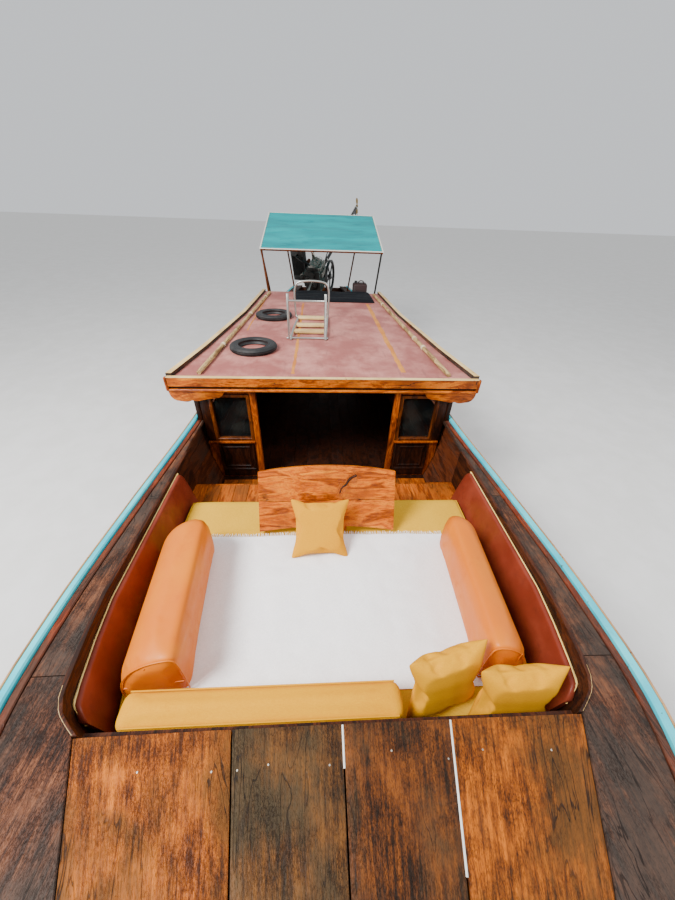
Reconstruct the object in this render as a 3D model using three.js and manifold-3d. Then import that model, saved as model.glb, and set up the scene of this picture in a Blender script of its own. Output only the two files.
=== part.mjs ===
// Longtail boat: picnic well, low cabin with a roof deck, stern canopy and a swivelling long-shaft engine.
// Millimetres, +X to the bow, +Y to port, +Z up. The origin is on the centreline amidships, at the waterline.
import * as THREE from "three";
import { mergeVertices } from "three/addons/utils/BufferGeometryUtils.js";
import Module from "manifold-3d";

const wasm = await Module();
wasm.setup();

// Clearances
const GAP = 0.3;
const SEAM = 6;

// Hull lines. Columns: x, half beam and height at the sheer, half beam and height at the bilge, keel height.
const LINES = [
  [-5950, 610, 900, 430, 90, -110],
  [-5000, 845, 845, 640, -30, -240],
  [-4000, 1010, 820, 790, -110, -320],
  [-2000, 1160, 805, 930, -160, -370],
  [0, 1250, 825, 1030, -165, -380],
  [1000, 1320, 855, 1080, -150, -385],
  [1750, 1350, 885, 1085, -120, -380],
  [2250, 1310, 915, 1010, -80, -370],
  [2800, 1105, 965, 800, 0, -340],
  [3400, 840, 1040, 560, 130, -270],
  [4000, 600, 1140, 370, 310, -140],
  [4600, 390, 1270, 230, 540, 90],
  [5200, 215, 1430, 135, 830, 430],
  [5600, 110, 1560, 80, 1070, 800],
];
const STERN = -5950;
const BOW = 5600;
const STATION_COUNT = 26;
const PLANK = 34;
const FLARE = 0.15;
const CABIN_FRONT_BUTT = -130;
const FOREDECK_BUTT = 2230;
// Topside planking, butted at the cabin front and at the foredeck. Columns: name, aft end, fore end.
const TOPSIDE_LENGTHS = [
  ["aft", STERN, CABIN_FRONT_BUTT],
  ["middle", CABIN_FRONT_BUTT + GAP, FOREDECK_BUTT],
  ["fore", FOREDECK_BUTT + GAP, BOW],
];
const DECK = 28;
const RAIL_WIDTH = 38;
const RAIL_RISE = 24;
const RUB_THICK = 12;
const CAMBER = 32;
const FOREDECK_PLANK = 40;

// Inner edge of the covering boards. Columns: x, half width.
const DECK_INNER = [
  [-5945, 430],
  [-3900, 925],
  [-130, 1150],
  [1650, 1168],
  [1850, 1147],
  [2040, 1117],
  [2110, 1100],
  [2165, 1068],
  [2205, 1020],
  [2240, 972],
  [2640, 785],
  [3400, 400],
  [4100, 110],
];
const FOREDECK = [2245, 4095];
// Covering boards. Columns: name, aft end, fore end.
const SIDE_DECKS = [
  ["aft", -5945, CABIN_FRONT_BUTT],
  ["fore", CABIN_FRONT_BUTT + GAP, 4100],
];
// Foredeck planks: edges as shares of the half width between the covering boards, from starboard to port.
const PLANK_EDGES = [-1, -0.409, 0.016, 0.445, 1];

// Well
const WELL_AFT = 400;
const WELL_FORE = 2215;
const COAMING = 20;
const COAMING_RISE = 6;
const FLOOR = 100;
const FLOOR_BOARD = 24;
const PLATFORM_TOP = 498;
const PLATFORM_BOARD = 40;
const MATTRESS_TOP = 625;
const BACKREST = { aft: 640, fore: 2160, top: 840, lean: 60, thick: 35, inset: 21 };

// Cabin and roof
const CABIN_FORE = -130;
const CABIN_AFT = -3850;
const BULKHEAD = 30;
const WALL = 26;
const DOOR_HALF = 640;
// Side windows, from aft to fore ends.
const WINDOWS = [[-1200, -330], [-2350, -1480], [-3500, -2630]];
const SILL = 880;
const LINTEL = 1092;
const ROOF_FORE = -105;
const ROOF_AFT = -3900;
const ROOF_THICK = 40;
const ROOF_TOP_FORE = 1265;
const ROOF_TOP_AFT = 1185;
// Roof edge. Columns: x, half width.
const ROOF_EDGE = [
  [-3900, 1050],
  [-2300, 1118],
  [-850, 1265],
  [-105, 1372],
];
const HEADER = 78;
const TOE_RAIL = [50, 38];

// Stern canopy
const CANOPY = { fore: -3960, aft: -5660, half: 1050, foreTop: 1836, aftTop: 2290, cloth: 6 };
const POLE_R = 16;
const STAND_TOP = 1050;

// Engine: parked with its tail lifted and swung to port
const PIVOT = [-5450, 0, 1320];
const TAIL_LIFT = THREE.MathUtils.degToRad(18.1);
const TAIL_SWING = THREE.MathUtils.degToRad(17.3);
const TAIL_LENGTH = 3500;

// Finishes. Columns: colour, roughness, metalness.
const FINISHES = {
  hull_paint: ["#4a3a33", 0.7, 0],
  deck_wood: ["#7a3f1c", 0.55, 0],
  side_wood: ["#57443c", 0.75, 0],
  varnished_wood: ["#b36a22", 0.45, 0],
  dark_wood: ["#4b2413", 0.5, 0],
  floor_wood: ["#9c5a26", 0.6, 0],
  turquoise_paint: ["#6fd3dc", 0.5, 0],
  maroon_vinyl: ["#8e2f16", 0.5, 0],
  orange_vinyl: ["#ea9646", 0.45, 0],
  yellow_fabric: ["#ffcc00", 0.8, 0],
  khaki_fabric: ["#dcc06c", 0.85, 0],
  white_fabric: ["#ebe9e8", 0.95, 0],
  roof_sheet: ["#97696c", 0.7, 0],
  tyre_rubber: ["#1c1c1d", 0.85, 0],
  ladder_steel: ["#c9ccca", 0.35, 0.9],
  pole_wood: ["#b9a27c", 0.7, 0],
  teal_tarp: ["#00b4be", 0.65, 0],
  dark_steel: ["#2b2a29", 0.5, 0.8],
  cast_iron: ["#3a3836", 0.6, 0.7],
  fuel_can: ["#5a2b22", 0.5, 0],
  prop_bronze: ["#8a7a4a", 0.35, 0.9],
};
const materials = Object.fromEntries(
  Object.entries(FINISHES).map(([name, [color, roughness, metalness]]) => [
    name,
    new THREE.MeshStandardMaterial({ name, color, roughness, metalness }),
  ]),
);

const boat = new THREE.Group();
boat.name = "longtail_boat";

// Adds one named sub-part to a group.
function add(name, geometry, finish, group = boat) {
  const mesh = new THREE.Mesh(geometry, materials[finish]);
  mesh.name = name;
  group.add(mesh);
  return mesh;
}

// Small maths
const mix = (a, b, t) => a + (b - a) * t;
const spaced = (from, to, count) => Array.from({ length: count }, (_, i) => mix(from, to, i / (count - 1)));
const between = (list, low, high) => [low, ...list.filter((x) => x > low + 1 && x < high - 1), high];

// Straight interpolation in a table whose first column is x, for one of its other columns.
function lookUp(table, x, column = 1) {
  let i = 1;
  while (i < table.length - 1 && x > table[i][0]) i += 1;
  const [low, high] = [table[i - 1], table[i]];
  return mix(low[column], high[column], (x - low[0]) / (high[0] - low[0]));
}

// Smooth lines through the table, sampled once at the stations, so that all planking shares its facets.
const stations = spaced(STERN, BOW, STATION_COUNT);
const smoothLines = new THREE.CubicInterpolant(
  LINES.map((row) => row[0]),
  LINES.flatMap((row) => row.slice(1)),
  5,
  new Float64Array(5),
);
const sampled = stations.map((x) => [x, ...smoothLines.evaluate(x)]);
function hullAt(x) {
  const [beam, sheer, bilge, bilgeZ, keelZ] = [1, 2, 3, 4, 5].map((column) => lookUp(sampled, x, column));
  return { beam, sheer, bilge, bilgeZ, keelZ, rise: (bilgeZ - keelZ) / bilge };
}

// Outer face of the topside at share u from the sheer down to the bilge, straight between its rows.
const rows = spaced(0, 1, 6);
const bulge = rows.map((u) => [u, FLARE * Math.sin(Math.PI * u)]);
function topsideAt(x, u) {
  const h = hullAt(x);
  const y = mix(h.beam, h.bilge, u) + (h.beam - h.bilge) * lookUp(bulge, u);
  return [y, mix(h.sheer - DECK - GAP, h.bilgeZ, u)];
}
function topsideInner(x, z) {
  const h = hullAt(x);
  const u = THREE.MathUtils.clamp((h.sheer - DECK - GAP - z) / (h.sheer - DECK - GAP - h.bilgeZ), 0, 1);
  return topsideAt(x, u)[0] - PLANK;
}
// Bottom planking lies between the keel line and the inner side of the topsides.
const bottomHalf = (h) => h.bilge - PLANK - GAP;
const bottomEdge = stations.map((x) => {
  const h = hullAt(x);
  return [x, h.keelZ + h.rise * bottomHalf(h)];
});
function bottomAt(x, share) {
  return mix(hullAt(x).keelZ, lookUp(bottomEdge, x), Math.abs(share));
}
const deckInner = (x) => lookUp(DECK_INNER, x);
const knees = [...stations, ...DECK_INNER.map((row) => row[0])].sort((a, b) => a - b);
function deckTop(x, y) {
  const { beam, sheer } = hullAt(x);
  return sheer + CAMBER * Math.max(0, 1 - (y / beam) ** 2);
}

// Closed bodies

// Geometry from points and triangles, turned to face out.
function closed(points, triangles) {
  let volume = 0;
  const [a, b, c] = [new THREE.Vector3(), new THREE.Vector3(), new THREE.Vector3()];
  for (const [i, j, k] of triangles) {
    a.fromArray(points[i]);
    b.fromArray(points[j]);
    c.fromArray(points[k]);
    volume += a.dot(b.cross(c));
  }
  const facing = volume < 0 ? triangles.map(([i, j, k]) => [i, k, j]) : triangles;
  const geometry = new THREE.BufferGeometry();
  geometry.setAttribute("position", new THREE.Float32BufferAttribute(points.flat(), 3));
  geometry.setIndex(facing.flat());
  return geometry;
}

// Body between two grids of points, front[i][j] and back[i][j].
function slab(front, back) {
  const [ni, nj] = [front.length, front[0].length];
  const points = [...front.flat(), ...back.flat()];
  const at = (side, i, j) => side * ni * nj + i * nj + j;
  const triangles = [];
  const quad = (p, q, r, s) => triangles.push([p, q, r], [p, r, s]);
  for (let i = 0; i < ni - 1; i += 1) {
    for (let j = 0; j < nj - 1; j += 1) {
      quad(at(0, i, j), at(0, i + 1, j), at(0, i + 1, j + 1), at(0, i, j + 1));
      quad(at(1, i, j), at(1, i, j + 1), at(1, i + 1, j + 1), at(1, i + 1, j));
    }
    quad(at(0, i, 0), at(1, i, 0), at(1, i + 1, 0), at(0, i + 1, 0));
    quad(at(0, i, nj - 1), at(0, i + 1, nj - 1), at(1, i + 1, nj - 1), at(1, i, nj - 1));
  }
  for (let j = 0; j < nj - 1; j += 1) {
    quad(at(0, 0, j), at(0, 0, j + 1), at(1, 0, j + 1), at(1, 0, j));
    quad(at(0, ni - 1, j), at(1, ni - 1, j), at(1, ni - 1, j + 1), at(0, ni - 1, j + 1));
  }
  return closed(points, triangles);
}

// Body through a list of rings with the same number of points, closed by a fan at each end.
function loft(rings) {
  const count = rings[0].length;
  const points = rings.flat();
  const triangles = [];
  for (let i = 0; i < rings.length - 1; i += 1) {
    for (let j = 0; j < count; j += 1) {
      const k = (j + 1) % count;
      const [p, q] = [i * count, (i + 1) * count];
      triangles.push([p + j, q + j, q + k], [p + j, q + k, p + k]);
    }
  }
  const last = (rings.length - 1) * count;
  for (let j = 1; j < count - 1; j += 1) {
    triangles.push([0, j, j + 1], [last, last + j + 1, last + j]);
  }
  return closed(points, triangles);
}

// Long strip whose cross-section, a list of [y, z], is given for each x.
const strip = (xs, section) => loft(xs.map((x) => section(x).map(([y, z]) => [x, y, z])));
const rectangle = (y0, y1, z0, z1) => [[y0, z0], [y1, z0], [y1, z1], [y0, z1]];
function box(x0, x1, y0, y1, z0, z1) {
  const [x, y, z] = [(x0 + x1) / 2, (y0 + y1) / 2, (z0 + z1) / 2];
  return new THREE.BoxGeometry(x1 - x0, y1 - y0, z1 - z0).translate(x, y, z);
}

// Box on one side of the centreline, s = 1 to port and -1 to starboard.
function sideBox(x0, x1, s, y0, y1, z0, z1) {
  return box(x0, x1, Math.min(s * y0, s * y1), Math.max(s * y0, s * y1), z0, z1);
}

// Flat plate: an outline of [y, z] points, thick from x0 to x1.
function plateX(outline, x0, x1) {
  const shape = new THREE.Shape(outline.map(([y, z]) => new THREE.Vector2(y, z)));
  const plate = new THREE.ExtrudeGeometry(shape, { depth: x1 - x0, bevelEnabled: false });
  return plate.applyMatrix4(new THREE.Matrix4().set(0, 0, 1, x0, 1, 0, 0, 0, 0, 1, 0, 0, 0, 0, 0, 1));
}

// Round bar along a path of [x, y, z] points.
function tube(path, radius, sides = 8, steps = path.length > 2 ? 6 * path.length : 1) {
  const points = path.map((p) => new THREE.Vector3(...p));
  const bent = points.length > 2;
  const smooth = () => new THREE.CatmullRomCurve3(points, false, "centripetal");
  const curve = bent ? smooth() : new THREE.LineCurve3(...points);
  const turns = spaced(0, 2 * Math.PI, sides + 1).slice(0, sides);
  const rim = turns.map((t) => new THREE.Vector2(radius * Math.cos(t), radius * Math.sin(t)));
  const circle = new THREE.Shape(rim);
  return new THREE.ExtrudeGeometry(circle, { steps, extrudePath: curve });
}

// Round body on the Y axis: cylinder or ring from a profile of [radius, along].
function turnedOnY(profile, segments) {
  return new THREE.LatheGeometry(profile.map(([r, along]) => new THREE.Vector2(r, along)), segments);
}

// Joins and cuts

function solid(geometry) {
  const bare = geometry.index ? geometry.toNonIndexed() : geometry.clone();
  bare.deleteAttribute("normal");
  bare.deleteAttribute("uv");
  const merged = mergeVertices(bare, 1e-3);
  const made = new wasm.Manifold(
    new wasm.Mesh({
      numProp: 3,
      vertProperties: merged.attributes.position.array,
      triVerts: new Uint32Array(merged.index.array),
    }),
  );
  return made;
}
function geometryOf(made) {
  const mesh = made.getMesh();
  const geometry = new THREE.BufferGeometry();
  const points = new Float32Array(mesh.numVert * 3);
  for (let i = 0; i < mesh.numVert; i += 1) {
    points.set(mesh.vertProperties.subarray(i * mesh.numProp, i * mesh.numProp + 3), i * 3);
  }
  geometry.setAttribute("position", new THREE.BufferAttribute(points, 3));
  geometry.setIndex(new THREE.BufferAttribute(mesh.triVerts, 1));
  return geometry;
}
const join = (...parts) => geometryOf(parts.map(solid).reduce((a, b) => a.add(b)));
const cut = (whole, ...tools) => geometryOf(tools.map(solid).reduce((a, b) => a.subtract(b), solid(whole)));

const SIDES = [
  { side: "port", s: 1 },
  { side: "starboard", s: -1 },
];

// Hull planking, keel, prow and transom
function makeHull() {
  for (const { side, s } of SIDES) {
    for (const [length, low, high] of TOPSIDE_LENGTHS) {
      const xs = between(stations, low, high);
      const outer = xs.map((x) => rows.map((u) => {
        const [y, z] = topsideAt(x, u);
        return [x, s * y, z];
      }));
      const inner = xs.map((x) => rows.map((u) => {
        const [y, z] = topsideAt(x, u);
        return [x, s * (y - PLANK), u === 1 ? z - PLANK * hullAt(x).rise : z];
      }));
      add(`topside_${side}_${length}`, slab(outer, inner), "hull_paint");
    }
  }
  const across = spaced(-1, 1, 7);
  const bottom = (lift) => stations.map((x) => {
    const half = bottomHalf(hullAt(x));
    return across.map((v) => [x, v * half, bottomAt(x, v) + lift]);
  });
  add("bottom_planking", slab(bottom(PLANK), bottom(0)), "hull_paint");
  const keelHalf = 38;
  const keelDeep = 70;
  const keel = strip([...stations, BOW + 25], (x) => {
    const { keelZ } = hullAt(Math.min(x, BOW));
    return rectangle(-keelHalf, keelHalf, keelZ - keelDeep, keelZ - GAP);
  });
  const section = [...rows.map((u) => topsideAt(STERN, u)), [0, hullAt(STERN).keelZ]];
  const outline = [...section, ...rows.toReversed().map((u) => topsideAt(STERN, u)).map(([y, z]) => [-y, z])];
  const transomThick = 40;
  add("transom", plateX(outline, STERN - transomThick, STERN - GAP), "dark_wood");
  // Prow timber. Columns: height, aft x, fore x, aft half width, fore half width.
  const prow = [
    [735, BOW + GAP, 5618, 40, 34],
    [900, BOW + GAP, 5760, 60, 30],
    [1100, BOW + GAP, 5885, 80, 28],
    [1350, BOW + GAP, 5990, 98, 28],
    [1560, BOW + GAP, 6045, 108, 28],
    [1620, 5690, 6058, 84, 28],
    [1850, 5850, 6105, 52, 28],
    [2150, 5960, 6145, 42, 28],
    [2450, 6010, 6160, 36, 28],
    [2750, 6020, 6140, 32, 28],
  ];
  const post = loft(prow.map(([z, aft, fore, wide, narrow]) => [
    [aft, -wide, z],
    [fore, -narrow, z],
    [fore, narrow, z],
    [aft, wide, z],
  ]));
  add("keel_and_prow", join(keel, post), "dark_wood");
}

// Rails, rubbing strips and decks
function makeDecks() {
  const railXs = between(stations, STERN + 5, BOW - 5);
  for (const { side, s } of SIDES) {
    // Rail on the sheer, with the rubbing strip down its outer side
    add(
      `rail_${side}`,
      strip(railXs, (x) => {
        const { beam, sheer } = hullAt(x);
        return [
          [s * (beam - RAIL_WIDTH + GAP), sheer - DECK],
          [s * (beam + GAP), sheer - DECK],
          [s * (beam + GAP), sheer - 82],
          [s * (beam + RUB_THICK), sheer - 82],
          [s * (beam + RUB_THICK), sheer - 8],
          [s * beam, sheer - 2],
          [s * beam, sheer + RAIL_RISE],
          [s * (beam - RAIL_WIDTH + GAP), sheer + RAIL_RISE],
        ];
      }),
      "turquoise_paint",
    );
    for (const [length, low, high] of SIDE_DECKS) {
      const xs = between(knees, low, high);
      const face = (drop) => xs.map((x) => {
        const [inner, outer] = [deckInner(x), hullAt(x).beam - RAIL_WIDTH];
        return [inner, mix(inner, outer, 0.5), outer].map((y) => [x, s * y, deckTop(x, y) - drop]);
      });
      add(`side_deck_${side}_${length}`, slab(face(0), face(DECK)), "side_wood");
    }
  }
  const plankXs = between(knees, ...FOREDECK);
  PLANK_EDGES.slice(0, -1).forEach((low, i) => {
    const high = PLANK_EDGES[i + 1];
    const face = (drop) => plankXs.map((x) => {
      const half = deckInner(x);
      const across = spaced(low * half + SEAM / 2, high * half - SEAM / 2, 3);
      return across.map((y) => [x, y, deckTop(x, y) - drop]);
    });
    add(`foredeck_plank_${i + 1}`, slab(face(0), face(FOREDECK_PLANK)), "deck_wood");
  });
  const bowXs = between(stations, FOREDECK[1] + SEAM + 3, BOW - 5);
  const bow = (drop) => bowXs.map((x) => {
    const half = hullAt(x).beam - RAIL_WIDTH;
    return spaced(-half, half, 5).map((y) => [x, y, deckTop(x, y) - drop]);
  });
  add("bow_deck", slab(bow(0), bow(DECK)), "side_wood");
  // Beams that carry the foredeck, tied by a king beam
  const beamLow = 110;
  const beams = [2300, 3100, 3900].map((x) => {
    const ends = [x - 30, x + 30];
    const face = (top) => ends.map((at) => {
      const foot = hullAt(at).sheer - beamLow;
      const half = topsideInner(at, foot) - 1;
      return spaced(-half, half, 7).map((y) => [at, y, top ? deckTop(at, y) - FOREDECK_PLANK - 0.9 : foot]);
    });
    return slab(face(true), face(false));
  });
  const king = strip(between(stations, 2290, 3910), (x) => {
    const { sheer } = hullAt(x);
    return rectangle(-35, 35, sheer - beamLow + 5, sheer - 60);
  });
  add("foredeck_frame", join(king, ...beams), "dark_wood");
}

// Floors, well platform, coamings and padded sides
function makeWell() {
  const floorHalf = (x) => topsideInner(x, FLOOR) - 0.5;
  const floorXs = between(stations, CABIN_AFT, WELL_FORE);
  const floor = (z) => floorXs.map((x) => [-floorHalf(x), 0, floorHalf(x)].map((y) => [x, y, z]));
  const beams = [-3300, -1500, 300, 1800].map((x) => floorBeam(x, FLOOR));
  add("cockpit_floor", join(slab(floor(FLOOR + FLOOR_BOARD), floor(FLOOR)), ...beams), "floor_wood");
  const wellXs = between(knees, WELL_AFT, WELL_FORE);
  const platform = (z) => wellXs.map((x) => [-1, 0, 1].map((v) => [x, v * (deckInner(x) - GAP), z]));
  const riserHalf = topsideInner(WELL_AFT + 20, FLOOR + FLOOR_BOARD) - 4;
  const [riserFoot, riserTop] = [FLOOR + FLOOR_BOARD + GAP, PLATFORM_TOP - 5];
  const well = join(
    slab(platform(PLATFORM_TOP), platform(PLATFORM_TOP - PLATFORM_BOARD)),
    box(WELL_AFT + 20, WELL_AFT + 50, -riserHalf, riserHalf, riserFoot, riserTop),
    box(2000, 2060, -700, 700, riserFoot, riserTop),
  );
  add("well_platform", well, "floor_wood");
  const coamingXs = [...wellXs.slice(0, -1), WELL_FORE, 2240];
  const board = 22;
  const sideBoards = SIDES.map(({ s }) => strip(coamingXs, (x) => {
    const outer = deckInner(x) - GAP;
    const inner = deckInner(x) - COAMING;
    return rectangle(s * inner, s * outer, PLATFORM_TOP + GAP, deckTop(x, outer) + COAMING_RISE);
  }));
  const frontHalf = deckInner(WELL_FORE + 2 + board) - COAMING / 2;
  const boardTop = 872;
  const boardAft = WELL_FORE + 2;
  const frontBoard = box(boardAft, boardAft + board, -frontHalf, frontHalf, PLATFORM_TOP + GAP, boardTop);
  add("coaming", join(...sideBoards, frontBoard), "dark_wood");
  for (const { side, s } of SIDES) {
    const restXs = between(wellXs, BACKREST.aft, BACKREST.fore);
    const foot = PLATFORM_TOP + GAP;
    add(
      `backrest_${side}`,
      strip(restXs, (x) => {
        const top = deckInner(x) - BACKREST.inset;
        const low = top - BACKREST.lean;
        return [
          [s * (low - BACKREST.thick), foot],
          [s * low, foot],
          [s * top, BACKREST.top],
          [s * (top - BACKREST.thick), BACKREST.top],
        ];
      }),
      "maroon_vinyl",
    );
  }
}

// Floor beam that stands on the bottom planking and reaches into the floor above it.
function floorBeam(x, floorFoot) {
  const ends = [x - 30, x + 30];
  const across = [-1, -0.5, 0, 0.5, 1];
  const half = Math.min(...ends.map((at) => bottomHalf(hullAt(at)))) - 30;
  const seat = (at, v) => bottomAt(at, (v * half) / bottomHalf(hullAt(at))) + PLANK + 3;
  return slab(
    ends.map((at) => across.map((v) => [at, v * half, floorFoot + 5])),
    ends.map((at) => across.map((v) => [at, v * half, seat(at, v)])),
  );
}

// Soft furnishings
function makeCushions() {
  const bed = MATTRESS_TOP + GAP;
  const matXs = between(knees, 735, 2190);
  const matHalf = (x) => deckInner(x) - BACKREST.inset - BACKREST.lean - BACKREST.thick - 4;
  const face = (z) => matXs.map((x) => [-1, 0, 1].map((v) => [x, v * matHalf(x), z]));
  add("mattress", slab(face(MATTRESS_TOP), face(PLATFORM_TOP + GAP)), "khaki_fabric");
  const blanketTop = bed + 8;
  add("blanket", box(1066, 2040, -869, 808, bed, blanketTop), "white_fabric");
  // Side bolsters: upright inner face, top falling in a curve to the outer edge.
  const [high, long, lip] = [327, 900, 12];
  const steps = spaced(0, Math.PI / 2, 6);
  for (const { side, s, x, y, turn, wide } of [
    { side: "port", s: 1, x: 1560, y: 735, turn: 0.05, wide: 215 },
    { side: "starboard", s: -1, x: 1560, y: 722, turn: -0.09, wide: 295 },
  ]) {
    const fall = steps.map((t) => [wide * Math.sin(t), lip + (high - lip) * Math.cos(t)]);
    const dome = [[0, 0], ...fall, [wide, 0]];
    const ring = (along) => dome.map(([u, v]) => [along, s * u, v]);
    const bolster = loft([ring(-long / 2), ring(long / 2)]);
    const mesh = add(`bolster_${side}`, bolster, "orange_vinyl");
    mesh.position.set(x, s * y, blanketTop + GAP);
    mesh.rotation.z = -turn;
  }
  const roll = 150;
  add("bolster_front", box(2062, 2062 + roll, -893, 287, bed, bed + 225), "yellow_fabric");
  // Loose cushions. Columns: name, centre x, centre y, tilt about Y, turn about Z, resting height.
  const cushions = [
    ["cushion_centre", 1165, -62, 0.9, 0, blanketTop + GAP],
    ["cushion_port_1", 2070, 495, 1.35, 0.25, bed],
    ["cushion_port_2", 2140, 782, 1.4, 0.02, bed],
  ];
  const [side, thick, waist] = [390, 110, 0.92];
  const outline = [[-1, -1], [0, -waist], [1, -1], [waist, 0], [1, 1], [0, waist], [-1, 1], [-waist, 0]];
  const ring = (z, k) => outline.map(([a, b]) => [(a * k * side) / 2, (b * k * side) / 2, z]);
  // Columns: share of the thickness, share of the size.
  const swell = [[-0.5, 0.45], [-0.25, 0.82], [0, 1], [0.25, 0.82], [0.5, 0.45]];
  for (const [name, x, y, tilt, turn, rest] of cushions) {
    const pillow = loft(swell.map(([z, k]) => ring(z * thick, k)));
    pillow.rotateY(tilt).rotateZ(turn);
    pillow.computeBoundingBox();
    pillow.translate(x, y, rest - pillow.boundingBox.min.z);
    add(name, pillow, "yellow_fabric");
  }
}

// Reclined wooden backboard on its block legs
function makeBackboard() {
  const [wide, high, thick] = [935, 425, 34];
  const arch = spaced(-1, 1, 9);
  const outline = [
    ...arch.map((v) => [(v * wide) / 2, high + 42 * (1 - v * v)]),
    ...arch.toReversed().map((v) => [(v * wide) / 2, 40 * (1 - v * v) * 0.9]),
  ];
  const board = new THREE.Group();
  board.position.set(1085, -12, 664);
  board.rotation.y = -0.46;
  boat.add(board);
  const [legY, legDeep, legHalf, legFoot, legTop] = [110, 28, 30, -12, 300];
  const legs = [-legY, legY].map((y) => (
    box(-thick - legDeep, -thick + 5, y - legHalf, y + legHalf, legFoot, legTop)
  ));
  add("backboard", join(plateX(outline, -thick, 0), ...legs), "varnished_wood", board);
}

// Cabin walls, posts and header
const roofTop = (x) => mix(ROOF_TOP_AFT, ROOF_TOP_FORE, (x - ROOF_AFT) / (ROOF_FORE - ROOF_AFT));
const roofUnder = (x) => roofTop(x) - ROOF_THICK;
const CABIN_FOOT = FLOOR + FLOOR_BOARD + GAP;
// Heights at which the bulkheads follow the hull's inner side
const PANEL_HEIGHTS = [CABIN_FOOT, 250, 400, 560];
function makeCabin() {
  const foot = CABIN_FOOT;
  const headerFoot = roofUnder(CABIN_FORE) - HEADER;
  const x0 = CABIN_FORE - BULKHEAD;
  const bulkheadHalf = 1148;
  for (const { side, s } of SIDES) {
    const outline = [
      [s * DOOR_HALF, foot],
      ...PANEL_HEIGHTS.map((z) => [s * Math.min(bulkheadHalf, topsideInner(x0, z) - 3), z]),
      [s * bulkheadHalf, headerFoot - GAP],
      [s * DOOR_HALF, headerFoot - GAP],
    ];
    const pane = sideBox(x0 - 5, CABIN_FORE + 5, s, 705, 1062, 600, headerFoot - 45);
    add(`bulkhead_${side}`, cut(plateX(outline, x0, CABIN_FORE), pane), "varnished_wood");
    // Side wall with three windows
    const wallXs = [x0 - 6, CABIN_AFT];
    const wallFoot = 600;
    const wallFace = (inset) => wallXs.map((x) => {
      const y = s * (deckInner(x) - inset);
      return [[x, y, wallFoot], [x, y, roofUnder(x) - GAP]];
    });
    const wall = slab(wallFace(GAP), wallFace(WALL));
    const openings = WINDOWS.map(([low, high]) => sideBox(low, high, s, 700, 1300, SILL, LINTEL));
    add(`cabin_side_${side}`, cut(wall, ...openings), "varnished_wood");
  }
  // Header across the front with the two outer posts that carry it on the side decks
  const [postAft, postFore] = [x0 - 5.5, CABIN_FORE + 18];
  const [postInner, postOuter] = [1151, 1194];
  const postFoot = deckTop(postFore, postInner) + GAP;
  const posts = SIDES.map(({ s }) => (
    sideBox(postAft, postFore, s, postInner, postOuter, postFoot, headerFoot + 10)
  ));
  const header = box(postAft, postFore, -postOuter, postOuter, headerFoot, roofUnder(postAft) - GAP);
  add("cabin_portal", join(header, ...posts), "varnished_wood");
}

// Roof panel, fascia, brackets, rails and what is carried on the roof
function makeRoof() {
  const roofXs = [ROOF_AFT, -3000, -2300, -1600, -850, ROOF_FORE];
  const edge = (x) => lookUp(ROOF_EDGE, x);
  const face = (drop) => roofXs.map((x) => [-1, 0, 1].map((v) => [x, v * edge(x), roofTop(x) - drop]));
  const railXs = [ROOF_AFT + 1, -3000, -2300, -1600, -850, ROOF_FORE - 1];
  const rails = SIDES.map(({ s }) => strip(railXs, (x) => {
    const outer = edge(x) - 2;
    return rectangle(s * (outer - TOE_RAIL[0]), s * outer, roofTop(x) - 5, roofTop(x) + TOE_RAIL[1]);
  }));
  add("roof", join(slab(face(0), face(ROOF_THICK)), ...rails), "roof_sheet");
  const fasciaX = ROOF_FORE + GAP;
  const fasciaFoot = 1143;
  // Scrolled bracket under each end. Columns: y, z, outer end first.
  const scroll = [
    [1378, 1150], [1366, 1092], [1335, 1057], [1285, 1045], [1235, 1039], [1190, 1051],
    [1150, 1047], [1100, 1057], [1040, 1069], [980, 1076], [930, 1094], [890, 1150],
  ];
  const [bracketThick, fasciaThick, fasciaHalf, fasciaTop] = [24, 34, 1388, 1280];
  const brackets = SIDES.map(({ s }) => (
    plateX(scroll.map(([y, z]) => [s * y, z]), fasciaX, fasciaX + bracketThick)
  ));
  const fascia = box(fasciaX, fasciaX + fasciaThick, -fasciaHalf, fasciaHalf, fasciaFoot, fasciaTop);
  add("fascia", join(fascia, ...brackets), "varnished_wood");
  for (const { side, s } of SIDES) {
    const [near, far] = [-160, -3700];
    const inboard = (x) => mix(900, 1108, (x - far) / (near - far));
    const pole = [near, far].map((x) => [x, s * inboard(x), roofTop(x) + 22 + GAP]);
    add(`roof_pole_${side}`, tube(pole, 22), "pole_wood");
  }
  // Fender tyres. Columns: number, x, y.
  for (const [number, x, y] of [[1, -835, -740], [2, -2130, -665]]) {
    const [outer, inner, half] = [240, 148, 34];
    const edgeHalf = half - 22;
    const profile = [
      [inner, -half],
      [outer - 22, -half],
      [outer, -edgeHalf],
      [outer, edgeHalf],
      [outer - 22, half],
      [inner, half],
      [inner + 10, 0],
      [inner, -half],
    ];
    const tyre = turnedOnY(profile, 28).rotateX(Math.PI / 2);
    const mesh = add(`tyre_${number}`, tyre, "tyre_rubber");
    mesh.rotation.y = -Math.atan2(ROOF_TOP_FORE - ROOF_TOP_AFT, ROOF_FORE - ROOF_AFT);
    mesh.position.set(x, y, roofTop(x) + half + 2 * GAP);
  }
  makeLadder();
}

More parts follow.
